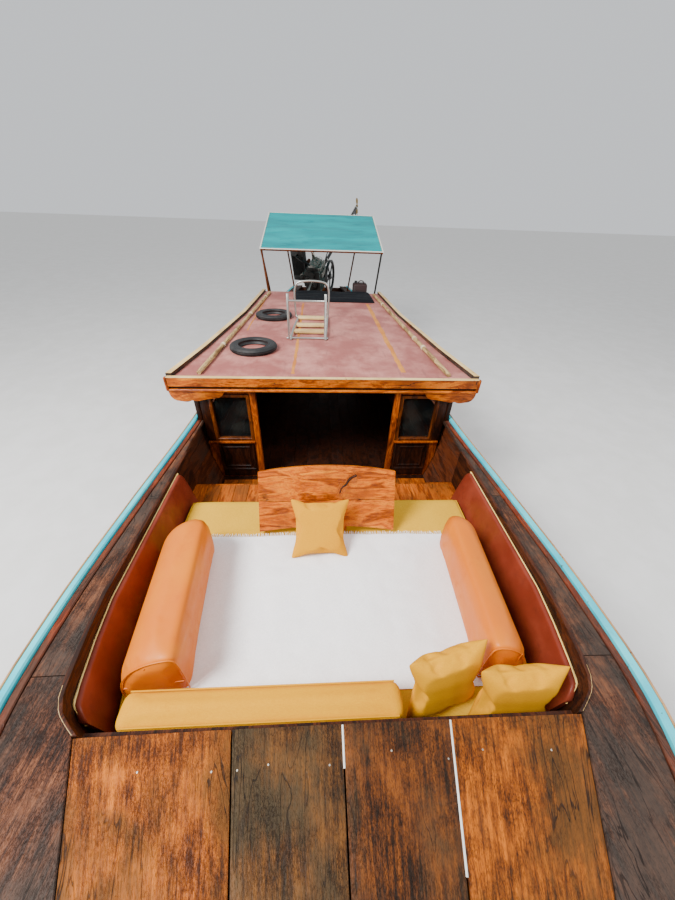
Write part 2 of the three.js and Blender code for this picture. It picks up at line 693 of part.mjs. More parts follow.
// Boarding ladder lying on the roof, its hoops standing up
function makeLadder() {
  const r = 13;
  const [left, right] = [-378, 12];
  const rest = (x, up = 0) => roofTop(x) + r + GAP + up;
  const rail = (y) => {
    const path = [[-1150, y, rest(-1150)], [-1400, y + 12, rest(-1400, 30)], [-2150, y + 45, rest(-2150, 8)]];
    return tube(path, r);
  };
  const hoop = (x, low, high, top, tubeR) => {
    const foot = rest(x) - r + tubeR;
    const corner = (y, inward) => [[x, y, top - 70], [x, y + inward, top - 8]];
    const path = [[x, low, foot], ...corner(low, 40), ...corner(high, -40).reverse(), [x, high, foot]];
    return tube(path, tubeR, 8, 40);
  };
  const standX = -1200;
  const upright = (y) => tube([[standX, y, rest(standX)], [standX, y, 1722]], 14);
  const cross = (x, low, high, z, tubeR = 12) => tube([[x, low, z], [x, high, z]], tubeR);
  const steps = [-1420, -1690, -2040].map((x, i) => {
    const shift = 12 + 13 * i;
    return box(x - 45, x + 45, left + shift, right + shift, rest(x, 2), rest(x, 28));
  });
  const frame = join(
    rail(left),
    rail(right),
    ...steps,
    upright(-396),
    upright(8),
    cross(standX, -425, 40, rest(standX)),
    cross(standX, -396, 8, 1650),
    hoop(-2130, -370, 62, 1668, 12),
    cross(-2130, -370, 62, rest(-2130)),
  );
  add("ladder", frame, "ladder_steel");
}

// Stern floor with the engine's stand, seat deck and fuel can
function makeStern() {
  const aftFloor = 250;
  const xs = between(stations, STERN + 8, CABIN_AFT - 25);
  const half = (x) => topsideInner(x, aftFloor) - 0.5;
  const face = (z) => xs.map((x) => [-half(x), 0, half(x)].map((y) => [x, y, z]));
  const beams = [-5350, -4250].map((x) => floorBeam(x, aftFloor));
  const beamX = [PIVOT[0] - 90, PIVOT[0] + 90];
  const beamHalf = Math.min(...beamX.map((x) => topsideInner(x, 560))) - 3;
  const [blockHalf, stretcherTop] = [75, 700];
  const stand = [
    box(...beamX, -beamHalf, beamHalf, 560, stretcherTop),
    box(PIVOT[0] - blockHalf, PIVOT[0] + blockHalf, -blockHalf, blockHalf, aftFloor + 2, STAND_TOP),
  ];
  const floor = slab(face(aftFloor + FLOOR_BOARD), face(aftFloor));
  add("stern_floor", join(floor, ...beams, ...stand), "floor_wood");

  // Seat deck behind the cabin. Ledgers join it to the panels beside the way through.
  const bridge = [-4290, CABIN_AFT - 25];
  const [bridgeFoot, bridgeTop] = [732, 762];
  const bridgeHalf = (x) => topsideInner(x, bridgeFoot) - 0.5;
  const bridgeFace = (z) => bridge.map((x) => [-1, 0, 1].map((v) => [x, v * bridgeHalf(x), z]));
  const panelX = CABIN_AFT + 5;
  const panelTop = deckInner(panelX) - WALL - GAP;
  const doorHalf = 520;
  const inHull = (z) => Math.min(panelTop, topsideInner(panelX, z) - 6);
  const panels = SIDES.flatMap(({ s }) => [
    plateX([
      [s * doorHalf, CABIN_FOOT],
      ...PANEL_HEIGHTS.map((z) => [s * inHull(z), z]),
      [s * panelTop, 640],
      [s * panelTop, roofUnder(panelX) - GAP],
      [s * doorHalf, roofUnder(panelX) - GAP],
    ], panelX, panelX + BULKHEAD),
    sideBox(bridge[1] - 25, panelX + 5, s, doorHalf + 10, panelTop - 40, bridgeFoot - 32, bridgeFoot + 2),
  ]);
  const seatDeck = slab(bridgeFace(bridgeTop), bridgeFace(bridgeFoot));
  add("bridge_deck", join(seatDeck, ...panels), "dark_wood");
  add("fuel_can", join(
    box(-4250, -4050, 570, 828, bridgeTop + GAP, 1315),
    box(-4185, -4115, 620, 780, 1310, 1360),
  ), "fuel_can");
}

// Canopy posts, top frame and tarp
const canopyZ = (x) => mix(CANOPY.aftTop, CANOPY.foreTop, (x - CANOPY.aft) / (CANOPY.fore - CANOPY.aft));
function makeCanopy() {
  const { fore, aft, half, cloth } = CANOPY;
  const slope = Math.atan2(CANOPY.aftTop - CANOPY.foreTop, fore - aft);
  const under = (x) => canopyZ(x) - (cloth + GAP + POLE_R) / Math.cos(slope);
  const bar = (x) => tube([[x, -half + 20, under(x)], [x, half - 20, under(x)]], POLE_R);
  const sideBar = (y) => tube([[fore, y, under(fore)], [aft, y, under(aft)]], POLE_R);
  const postX = [fore - 60, aft + 60];
  // The deck's flat facets lie a little under its camber.
  const facetSag = 0.8;
  const posts = SIDES.flatMap(({ s }) => [
    [postX[0], 935, half - 22],
    [postX[1], 592, 800],
  ].map(([x, footY, topY]) => {
    const deck = deckTop(x, footY) - facetSag;
    const lift = (POLE_R * (topY - footY)) / (under(x) - deck) + 0.4;
    return tube([[x, s * footY, deck + lift], [x, s * topY, under(x)]], POLE_R);
  }));
  // Brace that crosses the starboard front post
  const [braceX, braceY] = [fore - 190, 905];
  const braceFoot = [braceX, -braceY, deckTop(braceX, braceY) + POLE_R / 3];
  posts.push(tube([braceFoot, [fore - 18, -half + 22, under(fore - 18)]], POLE_R));
  const frame = join(
    ...[fore - 18, postX[0], (fore + aft) / 2, postX[1], aft + 18].map(bar),
    sideBar(-half + 22),
    sideBar(half - 22),
    ...posts,
  );
  add("canopy_frame", frame, "pole_wood");
  const face = (drop) => [aft, fore].map((x) => [-half, 0, half].map((y) => [x, y, canopyZ(x) - drop]));
  add("canopy_tarp", slab(face(0), face(cloth)), "teal_tarp");
}

// Engine: swivel yoke, tilting engine and shaft, and propeller
function makeEngine() {
  const swivel = new THREE.Group();
  swivel.position.set(...PIVOT);
  swivel.rotation.z = -TAIL_SWING;
  boat.add(swivel);
  const tilting = new THREE.Group();
  tilting.rotation.y = TAIL_LIFT;
  swivel.add(tilting);

  const cheekY = 120;
  const cheekThick = 12;
  const pinR = 15;
  const holeR = pinR + 0.7;
  const base = STAND_TOP + GAP - PIVOT[2];
  const disc = new THREE.CylinderGeometry(95, 95, 20, 20).rotateX(Math.PI / 2).translate(0, 0, base + 10);
  const cheek = (s) => {
    const plate = sideBox(-45, 45, s, cheekY, cheekY + cheekThick, base + 12, 45);
    const hole = new THREE.CylinderGeometry(holeR, holeR, 60, 16);
    return cut(plate, hole.translate(0, s * (cheekY + cheekThick / 2), 0));
  };
  const foot = box(-45, 45, -cheekY - cheekThick, cheekY + cheekThick, base, base + 20);
  add("swivel_yoke", join(disc, foot, cheek(1), cheek(-1)), "dark_steel", swivel);

  const blockFoot = -150;
  const pin = new THREE.CylinderGeometry(pinR, pinR, 2 * (cheekY + cheekThick + 12), 16);
  const engineFrame = join(
    pin,
    box(-60, 60, -cheekY + 6, cheekY - 6, -55, 55),
    box(40, 175, -80, 80, -50, 50),
    box(130, 175, -100, 100, -190, 50),
    box(130, 640, -100, -60, -190, blockFoot - GAP),
    box(130, 640, 60, 100, -190, blockFoot - GAP),
    box(590, 640, -100, 100, -190, blockFoot - GAP),
  );
  add("engine_frame", engineFrame, "dark_steel", tilting);
  const [blockHalf, headTop] = [155, 345];
  const drumX = (r, x0, x1, y, z) => (
    new THREE.CylinderGeometry(r, r, x1 - x0, 16).rotateZ(Math.PI / 2).translate((x0 + x1) / 2, y, z)
  );
  const drumY = (r, y0, y1, x, z) => (
    new THREE.CylinderGeometry(r, r, y1 - y0, 14).translate(x, (y0 + y1) / 2, z)
  );
  const drumZ = (r, z0, z1, x, y) => (
    new THREE.CylinderGeometry(r, r, z1 - z0, 14).rotateX(Math.PI / 2).translate(x, y, (z0 + z1) / 2)
  );
  const cylinders = spaced(250, 550, 4);
  const intakePath = [[260, -60, 330], [260, -60, 440], [230, -100, 500], [170, -125, 505]];
  const pipeZ = 190;
  const exhaustPath = [[320, -130, 180], [320, -205, 180], ...[260, 120, 20].map((x) => [x, -240, pipeZ])];
  const topHose = [[503, -300, 500], [560, -300, 495], [600, -180, 440], [565, -60, 365], [560, -50, 330]];
  const lowHose = [[503, -250, 60], [550, -245, 58], [592, -205, 25], [592, -150, 0]];
  const block = join(
    tube(intakePath, 32, 10, 18),
    drumY(62, -270, -118, 150, 505),
    tube(exhaustPath, 30, 10, 20),
    tube(topHose, 19, 8, 20),
    tube(lowHose, 19, 8, 16),
    // Crankcase, sump, head with its flange, and rocker cover
    box(180, 620, -blockHalf, blockHalf, blockFoot, 250),
    box(220, 560, -55, 55, blockFoot - 35, blockFoot + 5),
    box(190, 610, -130, 130, 245, 268),
    box(205, 595, -100, 100, 260, 318),
    box(215, 585, -62, 62, 310, headTop),
    ...cylinders.map((x) => drumZ(30, headTop - 3, headTop + 22, x, 0)),
    // Intake log on the port side
    ...cylinders.map((x) => drumY(19, 95, 150, x, 290)),
    drumX(25, 225, 575, 150, 290),
    // Pump, filter and generator on the starboard side
    box(510, 600, -190, -150, -60, 50),
    drumZ(38, 0, 115, 235, -190),
    drumX(46, 520, 628, -205, 150),
    box(545, 600, -175, -150, 130, 170),
    // Pulleys at the front: crank, fan and generator
    drumX(105, 610, 670, 0, 40),
    drumX(62, 615, 662, 0, 205),
    drumX(34, 625, 662, -205, 150),
  );
  add("engine_block", block, "cast_iron", tilting);
  // Flywheel ring with five spokes on the port side
  const wheel = new THREE.Group();
  const wheelY = 275;
  wheel.position.set(300, wheelY, 30);
  tilting.add(wheel);
  const rim = turnedOnY([[262, -22], [300, -22], [300, 22], [262, 22], [262, -22]], 32);
  const hub = new THREE.CylinderGeometry(55, 55, 50, 16);
  const spokes = spaced(0, 2 * Math.PI, 6).slice(0, 5).map((a) => box(30, 275, -10, 10, -16, 16).rotateY(a));
  const stubLong = wheelY - blockHalf - GAP;
  const shaftStub = new THREE.CylinderGeometry(28, 28, stubLong, 12).translate(0, -stubLong / 2, 0);
  add("flywheel", join(rim, hub, ...spokes, shaftStub), "cast_iron", wheel);
  // Radiator: core set back in its shell, with a filler cap and a bracket to the block
  const [coolerAft, coolerFore, coolerTop] = [380, 500, 560];
  const shell = box(coolerAft, coolerFore, -440, -165, 0, coolerTop);
  const faces = [[coolerFore - 14, coolerFore + 5], [coolerAft - 5, coolerAft + 14]];
  const recesses = faces.map(([low, high]) => box(low, high, -418, -187, 95, 470));
  const radiator = join(
    cut(shell, ...recesses),
    box(400, 480, -166, -blockHalf - GAP, 60, 200),
    drumZ(24, coolerTop - 5, coolerTop + 18, 440, -300),
  );
  add("radiator", radiator, "dark_steel", tilting);
  const tiller = tube([[670 + GAP, 0, 60], [800, 0, 60], [1000, 0, 15], [1120, 0, -20]], 17, 8, 16);
  add("tiller", tiller, "ladder_steel", tilting);
  // Shaft tube with its stay, running aft to the propeller
  const tail = -TAIL_LENGTH;
  const skegOutline = [
    [tail + 460, -20],
    [tail + 90, -20],
    [tail + 90, -206],
    [tail - 70, -214],
    [tail - 70, -234],
    [tail + 130, -234],
    [tail + 190, -190],
    [tail + 240, -110],
  ];
  const skegShape = new THREE.Shape(skegOutline.map(([x, z]) => new THREE.Vector2(x, z)));
  const skegThick = 8;
  const skeg = new THREE.ExtrudeGeometry(skegShape, { depth: skegThick, bevelEnabled: false });
  skeg.rotateX(Math.PI / 2).translate(0, skegThick / 2, 0);
  const shaft = join(
    tube([[-60 - GAP, 0, 0], [tail + 52 + GAP, 0, 0]], 32, 12),
    tube([[-260, 0, 0], [-420, 0, 92], [-1500, 0, 100], [-2500, 0, 20]], 11, 6, 20),
    tube([[-420, 0, 0], [-420, 0, 95]], 11, 6),
    tube([[-1500, 0, 0], [-1500, 0, 103]], 11, 6),
    skeg,
  );
  add("shaft_tube", shaft, "dark_steel", tilting);

  const screw = new THREE.Group();
  screw.position.set(tail, 0, 0);
  tilting.add(screw);
  const hubProfile = [[0, -45], [22, -38], [34, 0], [34, 52], [0, 52]];
  const screwHub = turnedOnY(hubProfile, 12).rotateZ(-Math.PI / 2);
  const blade = (s) => {
    const ring = (r, chord, twist) => {
      const [c, d] = [Math.cos(twist), Math.sin(twist)];
      const section = [[-chord, -3], [chord, -3], [chord, 3], [-chord, 3]];
      return section.map(([a, b]) => [s * a * d + b * c, s * a * c - b * d, s * r]);
    };
    return loft([ring(20, 26, 1.0), ring(90, 42, 0.75), ring(150, 36, 0.6), ring(185, 14, 0.5)]);
  };
  add("propeller", join(screwHub, blade(1), blade(-1)), "prop_bronze", screw);
}

makeHull();
makeDecks();
makeWell();
makeCushions();
makeBackboard();
makeCabin();
makeRoof();
makeStern();
makeCanopy();
makeEngine();

export default boat;
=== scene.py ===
"""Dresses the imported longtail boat: planking, paint, padding, awning and engine fittings, in metres."""

import math

import bmesh
import bpy
import numpy as np
from mathutils import Matrix, Vector, noise


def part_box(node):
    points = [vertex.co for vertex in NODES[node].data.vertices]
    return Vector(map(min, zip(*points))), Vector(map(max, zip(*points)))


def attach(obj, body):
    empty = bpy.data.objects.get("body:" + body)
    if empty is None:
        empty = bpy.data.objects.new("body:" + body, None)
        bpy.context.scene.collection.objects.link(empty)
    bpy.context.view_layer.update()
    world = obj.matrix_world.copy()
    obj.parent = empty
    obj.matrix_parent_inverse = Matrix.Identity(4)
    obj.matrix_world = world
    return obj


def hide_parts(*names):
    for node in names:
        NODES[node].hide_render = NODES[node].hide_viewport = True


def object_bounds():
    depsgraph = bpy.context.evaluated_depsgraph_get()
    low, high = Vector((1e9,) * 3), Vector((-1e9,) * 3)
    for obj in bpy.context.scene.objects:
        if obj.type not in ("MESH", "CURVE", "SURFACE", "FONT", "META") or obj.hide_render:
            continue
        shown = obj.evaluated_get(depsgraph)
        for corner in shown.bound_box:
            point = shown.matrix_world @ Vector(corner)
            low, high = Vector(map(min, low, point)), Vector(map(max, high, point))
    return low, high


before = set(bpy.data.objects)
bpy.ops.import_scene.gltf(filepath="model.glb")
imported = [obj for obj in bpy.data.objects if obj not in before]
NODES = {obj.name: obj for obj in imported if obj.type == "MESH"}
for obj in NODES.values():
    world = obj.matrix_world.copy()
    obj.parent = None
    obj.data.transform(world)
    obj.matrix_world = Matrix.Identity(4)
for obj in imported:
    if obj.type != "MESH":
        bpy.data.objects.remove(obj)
CAD_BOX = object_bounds()
MM = 0.001
SIDES = (("port", 1), ("starboard", -1))

# Camera

PHOTO_FOCAL = 338
PHOTO_HEIGHT = 900
SENSOR = 36
FAR_CLIP = 500
CAMERA_AT = Vector((2.65, -0.074, 2.53))
PITCH, YAW, ROLL = (math.radians(angle) for angle in (36.5, 4.07, -2.31))


def make_camera():
    """Wide camera above the foredeck that looks aft and down."""
    sight = Vector((-math.cos(PITCH) * math.cos(YAW), math.cos(PITCH) * math.sin(YAW), -math.sin(PITCH)))
    level = Vector((math.sin(YAW), math.cos(YAW), 0))
    drop = sight.cross(level)
    right = level * math.cos(ROLL) + drop * math.sin(ROLL)
    down = drop * math.cos(ROLL) - level * math.sin(ROLL)
    turned = Matrix((right, -down, -sight)).transposed().to_4x4()
    turned.translation = CAMERA_AT
    data = bpy.data.cameras.new("camera")
    data.sensor_fit = "VERTICAL"
    data.sensor_height = SENSOR
    data.lens = PHOTO_FOCAL / PHOTO_HEIGHT * SENSOR
    data.clip_end = FAR_CLIP
    camera = bpy.data.objects.new("camera", data)
    camera.matrix_world = turned
    bpy.context.scene.collection.objects.link(camera)
    bpy.context.scene.camera = camera


make_camera()

# Shader nodes


class Value:
    """A shader socket that takes part in plain sums."""

    def __init__(self, finish, socket):
        self.finish = finish
        self.socket = socket

    def maths(self, operation, *others):
        values = dict(enumerate((self, *others)))
        return self.finish.add("ShaderNodeMath", {"operation": operation}, values)

    def __add__(self, other):
        return self.maths("ADD", other)

    def __sub__(self, other):
        return self.maths("SUBTRACT", other)

    def __rsub__(self, other):
        return self.finish.add("ShaderNodeMath", {"operation": "SUBTRACT"}, {0: other, 1: self})

    def __mul__(self, other):
        return self.maths("MULTIPLY", other)

    def __truediv__(self, other):
        return self.maths("DIVIDE", other)


def tint(colour):
    """Shader colour from a screen colour of 0 to 255."""
    linear = [((c / 255 + 0.055) / 1.055) ** 2.4 if c > 10 else c / 255 / 12.92 for c in colour]
    return (*linear, 1)


class Finish:
    """A material whose nodes are added one by one. Its colours are screen colours of 0 to 255."""

    def __init__(self, name):
        self.material = bpy.data.materials.new(name)
        self.material.use_nodes = True
        self.tree = self.material.node_tree
        self.tree.nodes.clear()

    def add(self, kind, settings=None, values=None, out=0):
        node = self.tree.nodes.new(kind)
        for key, setting in (settings or {}).items():
            setattr(node, key, setting)
        for key, value in (values or {}).items():
            if isinstance(value, Value):
                self.tree.links.new(value.socket, node.inputs[key])
            else:
                node.inputs[key].default_value = value
        return Value(self, node.outputs[out]) if node.outputs else None

    def place(self):
        return self.add("ShaderNodeTexCoord", out="Object")

    def fanned(self, place, base, slope):
        """Place spread across, so that plank lines that close towards the bow run parallel."""
        x, y, z = (self.add("ShaderNodeSeparateXYZ", None, {0: place}, out) for out in range(3))
        half = (base - x * slope).maths("MAXIMUM", 0.09)
        return self.add("ShaderNodeCombineXYZ", None, {0: x, 1: y / half * 0.9, 2: z})

    def vector(self, operation, first, second):
        return self.add("ShaderNodeVectorMath", {"operation": operation}, {0: first, 1: second})

    def noise(self, place, scale, detail=3, rough=0.55, warp=0):
        """Noise at a place. A scale of three numbers stretches it along the axes."""
        if isinstance(scale, tuple):
            place, scale = self.vector("MULTIPLY", place, scale), 1
        values = {"Vector": place, "Scale": scale, "Detail": detail, "Roughness": rough, "Distortion": warp}
        return self.add("ShaderNodeTexNoise", None, values)

    def spread(self, value, low, high, start=0, end=1):
        values = {0: value, 1: low, 2: high, 3: start, 4: end}
        return self.add("ShaderNodeMapRange", {"interpolation_type": "SMOOTHSTEP"}, values)

    def patches(self, place, scale, detail, rough, low, high):
        """Noise whose middle range, from low to high, is spread to full contrast."""
        return self.spread(self.noise(place, scale, detail, rough), low, high)

    def ramp(self, value, *stops):
        node = self.tree.nodes.new("ShaderNodeValToRGB")
        elements = node.color_ramp.elements
        while len(elements) < len(stops):
            elements.new(1)
        for element, (position, colour) in zip(elements, stops):
            element.position = position
            element.color = tint(colour)
        self.tree.links.new(value.socket, node.inputs["Fac"])
        return Value(self, node.outputs[0])

    def mix(self, share, first, second):
        first, second = (c if isinstance(c, Value) else tint(c) for c in (first, second))
        return self.add("ShaderNodeMix", {"data_type": "RGBA"}, {0: share, 6: first, 7: second}, out=2)

    def close(self, colour, rough, height=None, bump=0.4, depth=0.002, alpha=None, **constants):
        """Ends the material in one Principled shader. Constants go on the shader's own sockets."""
        values = {"Base Color": colour, "Roughness": rough}
        if alpha is not None:
            values["Alpha"] = alpha
        if height is not None:
            relief = {"Height": height, "Strength": bump, "Distance": depth}
            values["Normal"] = self.add("ShaderNodeBump", None, relief)
        for key, value in constants.items():
            values[key.replace("_", " ").title().replace("Ior", "IOR")] = value
        shader = self.add("ShaderNodeBsdfPrincipled", None, values)
        self.add("ShaderNodeOutputMaterial", None, {"Surface": shader})
        return self.material


# Finishes


def lengthwise(along, run, across):
    """Noise scale that is run along the grain and across on the other two axes."""
    return tuple(run if axis == along else across for axis in "xyz")


def timber(
    name, dark, mid, light, along="x", aged=None, age=0.0,
    gloss=(0.35, 0.65), cracks=0.5, coarse=1.0, specks=0.0, fan=None,
):
    """Sawn planks: rings, pores, drying cracks and weathered patches along the grain."""
    f = Finish(name)
    plank = f.add("ShaderNodeAttribute", {"attribute_name": "plank"}, out="Fac")
    shift = f.add("ShaderNodeCombineXYZ", None, {0: plank * 3.7, 1: plank * 1.9, 2: plank * 2.3})
    place = f.vector("ADD", f.fanned(f.place(), *fan) if fan else f.place(), shift)
    sway = f.noise(place, 1.6, 2)
    wander = 0.25 if specks else 0.9
    straight = f.vector("MULTIPLY", place, lengthwise(along, 1.3, 8))
    run = f.vector("ADD", straight, f.vector("MULTIPLY", sway, (wander, wander, wander)))
    broad = f.noise(run, 1.7 * coarse, 4, 0.6, 0.4)
    rings = (broad * 34 + sway * 6).maths("SINE") * 0.5 + 0.5
    fine = f.noise(run, 11 * coarse, 5, 0.7)
    pores = f.patches(f.vector("MULTIPLY", run, (1.6, 1.6, 1.6)), 26 * coarse, 2, 0.5, 0.56, 0.68)
    stain = f.noise(place, 2.3, 5, 0.65)
    veins = f.noise(run, 1.2 * coarse, 3, 0.5, 0.8) - 0.5
    crack = f.spread(veins.maths("ABSOLUTE"), 0.004, 0.016, 1, 0) * f.spread(stain, 0.42, 0.62)
    tone = broad * 0.55 + rings * 0.2 + fine * 0.35 - 0.05
    if specks:
        streaks = f.noise(place, lengthwise(along, 3.2, 70), 5, 0.7)
        patches = f.noise(place, 5.5, 5, 0.65)
        tone = patches * 1.1 + streaks * 1.25 + fine * 0.35 - 0.83
    colour = f.mix(pores * 0.55, f.ramp(tone, (0.3, dark), (0.52, mid), (0.74, light)), dark)
    if aged:
        worn = f.spread(stain + fine * 0.25, 0.62 - age * 0.3, 0.86 - age * 0.3)
        colour = f.mix(worn * 0.85, colour, aged)
    pits = 0
    if specks:
        # Open pores, and black weather stains that run with the grain
        short = f.vector("MULTIPLY", place, lengthwise(along, 1, 2.6))
        pits = f.patches(short, 105, 3, 0.65, 0.5, 0.58) * f.spread(patches + stain * 0.5, 0.9, 0.6)
        blots = f.spread(f.noise(short, 3.4, 6, 0.72, 0.5), 0.56, 0.68)
        colour = f.mix(pits * specks * 0.9, colour, dark)
        colour = f.mix(blots * specks * 0.7, colour, (26, 20, 15))
        pits = pits * specks
    colour = f.mix(crack * cracks, colour, (18, 9, 5))
    rough = f.spread(stain + pores * 0.2, 0.3, 0.75, *gloss)
    height = fine * 0.5 + rings * 0.25 - pores * 0.5 - crack * 1.6 - pits
    return f.close(colour, rough, height, 0.6, 0.003, specular_ior_level=0.2)


def paintwork(name, colour, faded, under, chips=0.25, rough=0.42):
    """Brushed paint, faded in places and chipped to what lies under it."""
    f = Finish(name)
    place = f.place()
    fade = f.patches(place, 3.1, 4, 0.55, 0.35, 0.7)
    brush = f.noise(f.vector("MULTIPLY", place, (3, 40, 40)), 6)
    flakes = f.patches(place, 34, 5, 0.7, 0.7 - 0.14 * chips, 0.74 - 0.14 * chips)
    dirt = f.patches(place, 9, 5, 0.65, 0.5, 0.8)
    shade = f.mix(fade, colour, faded)
    shade = f.mix(dirt * 0.35, shade, under)
    shade = f.mix(flakes * 0.9, shade, under)
    gloss = f.spread(fade + flakes, 0, 1.4, rough, rough + 0.3)
    return f.close(shade, gloss, brush * 0.3 - flakes, 0.35, 0.0015)


def vinyl(name, colour, shade, glow, rough=0.36):
    """Upholstery vinyl: fine leather cells, soft creases and rubbed highlights."""
    f = Finish(name)
    place = f.place()
    grain = f.add("ShaderNodeTexVoronoi", None, {"Vector": place, "Scale": 420}, "Distance")
    crease = f.noise(place, 17, 5, 0.6, 0.6)
    rub = f.patches(place, 4.3, 4, 0.55, 0.4, 0.7)
    grime = f.patches(place, 11, 6, 0.7, 0.52, 0.78)
    tone = f.mix(grime * 0.35, f.mix(rub * 0.55, colour, glow), shade)
    gloss = f.spread(crease + grime * 0.3, 0.2, 0.9, rough - 0.06, rough + 0.16)
    return f.close(tone, gloss, crease * 0.7 + grain * 0.35, 0.3, 0.002, specular_ior_level=0.3)


def cloth(name, colour, shade, weave=1.0, folds=0.4, sheen=0.0):
    """Woven cotton: crossed threads, slubs, faint stains and small wrinkles."""
    f = Finish(name)
    place = f.place()
    thread = 520 * weave
    warp = f.noise(place, (thread, 70, thread), 2)
    weft = f.noise(place, (70, thread, thread), 2)
    wrinkle = f.noise(place, 9, 5, 0.55, 0.8)
    stain = f.patches(place, 3.7, 4, 0.55, 0.35, 0.75)
    threads = warp * 0.5 + weft * 0.5
    tone = f.mix(f.spread(threads, 0.35, 0.65) * 0.5 + stain * 0.22, colour, shade)
    rough = f.spread(stain, 0, 1, 0.75, 0.92)
    height = threads * 0.35 + wrinkle * folds
    return f.close(tone, rough, height, 0.45, 0.003, sheen_weight=sheen, specular_ior_level=0.15)


def metal(name, colour, grime, rough=0.35, metallic=1.0, rust=0.3):
    """Handled metal with streaked roughness, oil film and rust spots."""
    f = Finish(name)
    place = f.place()
    film = f.patches(place, 7, 6, 0.65, 0.4, 0.75)
    specks = f.patches(place, 42, 5, 0.7, 0.74 - 0.12 * rust, 0.8 - 0.12 * rust)
    brushed = f.noise(f.vector("MULTIPLY", place, (60, 60, 9)), 5, 2)
    tone = f.mix(specks * rust, f.mix(film * 0.6, colour, grime), (104, 52, 24))
    shine = f.spread(film + specks * 0.6, 0, 1.3, metallic, metallic * 0.45)
    gloss = f.spread(film + brushed * 0.3, 0, 1.3, rough, rough + 0.35)
    return f.close(tone, gloss, brushed * 0.4 + specks, 0.2, 0.001, metallic=shine)


def rubber(name, colour, dust):
    """Old rubber, chalky where salt has dried on it."""
    f = Finish(name)
    place = f.place()
    bloom = f.patches(place, 8, 6, 0.7, 0.45, 0.75)
    scuffs = f.noise(f.vector("MULTIPLY", place, (6, 30, 6)), 9, 4)
    tone = f.mix(bloom * 0.5, colour, dust)
    return f.close(tone, f.spread(bloom, 0, 1, 0.55, 0.9), scuffs + bloom * 0.3, 0.35, 0.002)


def awning(name):
    """Woven plastic tarpaulin: ribbed weave, fold lines and sun-faded bands."""
    f = Finish(name)
    place = f.place()
    ribs = f.noise(place, (30, 380, 30), 2)
    bands = f.spread(f.noise(f.vector("MULTIPLY", place, (3.2, 0.5, 1)), 1.5), 0.35, 0.65)
    fold = f.noise(f.vector("MULTIPLY", place, (9, 1.5, 4)), 1.4, 4, 0.5, 1)
    tone = f.mix(bands, (0, 142, 146), (0, 164, 166))
    tone = f.mix(f.spread(fold, 0.5, 0.78) * 0.6, tone, (0, 100, 108))
    gloss = f.spread(bands + ribs * 0.3, 0, 1.3, 0.55, 0.75)
    return f.close(tone, gloss, fold * 1.2 + ribs * 0.2, 0.7, 0.01, specular_ior_level=0.2)


def roof_covering(name):
    """Rolled roof covering, mauve under dust, worn to a paler grit."""
    f = Finish(name)
    place = f.place()
    grit = f.noise(place, 320, 3, 0.7)
    dust = f.patches(place, 2.4, 6, 0.68, 0.38, 0.68)
    drips = f.patches(f.vector("MULTIPLY", place, (1.2, 9, 1)), 3, 5, 0.65, 0.56, 0.74)
    tone = f.mix(dust, (158, 88, 80), (198, 134, 122))
    tone = f.mix(f.spread(grit, 0.4, 0.65) * 0.4, tone, (122, 68, 64))
    tone = f.mix(drips * 0.35, tone, (84, 52, 48))
    return f.close(tone, f.spread(dust, 0, 1, 0.6, 0.85), grit + dust * 0.4, 0.5, 0.0015)


def pane(name):
    """Thin window glass under a film of dust."""
    f = Finish(name)
    dust = f.patches(f.place(), 5, 5, 0.6, 0.35, 0.8)
    tone = f.mix(dust, (16, 22, 24), (52, 54, 50))
    return f.close(tone, f.spread(dust, 0, 1, 0.03, 0.2), alpha=f.spread(dust, 0, 1, 0.3, 0.5), ior=1.5)


def rope(name, colour, shade):
    """Laid rope: strands twisted across its run."""
    f = Finish(name)
    place = f.place()
    twist = f.noise(place, (160, 160, 160), 2)
    wear = f.patches(place, 14, 4, 0.55, 0.4, 0.7)
    tone = f.mix(wear * 0.5 + twist * 0.3, colour, shade)
    return f.close(tone, f.spread(wear, 0, 1, 0.75, 0.92), twist, 0.6, 0.002)


# Foredeck planks, starboard to port. Columns: dark, middle and light grain, weathered patches.
DECK_TONES = (
    ((66, 27, 0), (148, 72, 0), (196, 104, 4), (98, 60, 18)),
    ((26, 13, 3), (80, 46, 12), (112, 68, 22), (62, 50, 30)),
    ((26, 12, 2), (88, 44, 8), (124, 66, 14), (60, 44, 24)),
    ((46, 19, 0), (132, 64, 0), (184, 96, 4), (80, 52, 20)),
)
# Half width of the foredeck at x = 0 if its sides ran on, and how fast it closes
DECK_FAN = (2.036, 0.475)


def deck_wood(name, tones, fan=None):
    """Bare deck timber, pitted and stained by weather."""
    looks = {"age": 0.35, "gloss": (0.45, 0.7), "cracks": 0.85, "coarse": 1.5, "specks": 0.8}
    return timber(name, *tones[:3], aged=tones[3], fan=fan, **looks)


DECK_WOODS = [deck_wood(f"deck_wood_{n}", tones, DECK_FAN) for n, tones in enumerate(DECK_TONES, 1)]
DECK_WOOD = deck_wood("bow_wood", DECK_TONES[2])
SIDE_WOOD = timber(
    "side_wood", (32, 17, 9), (84, 46, 26), (122, 74, 46),
    aged=(58, 50, 44), age=0.5, gloss=(0.5, 0.8), cracks=0.8, coarse=1.3, specks=0.9,
)
GUNWALE_WOOD = timber(
    "gunwale_wood", (52, 18, 8), (110, 42, 18), (150, 70, 34), aged=(70, 46, 34), age=0.4,
)
VARNISHED = timber(
    "varnished_wood", (92, 34, 2), (182, 84, 4), (228, 134, 22), gloss=(0.25, 0.48), cracks=0.7,
)
VARNISHED_ACROSS = timber(
    "varnished_across", (100, 38, 2), (194, 92, 2), (232, 138, 16), "y",
    aged=(118, 52, 10), age=0.25, gloss=(0.27, 0.52), cracks=0.95,
)
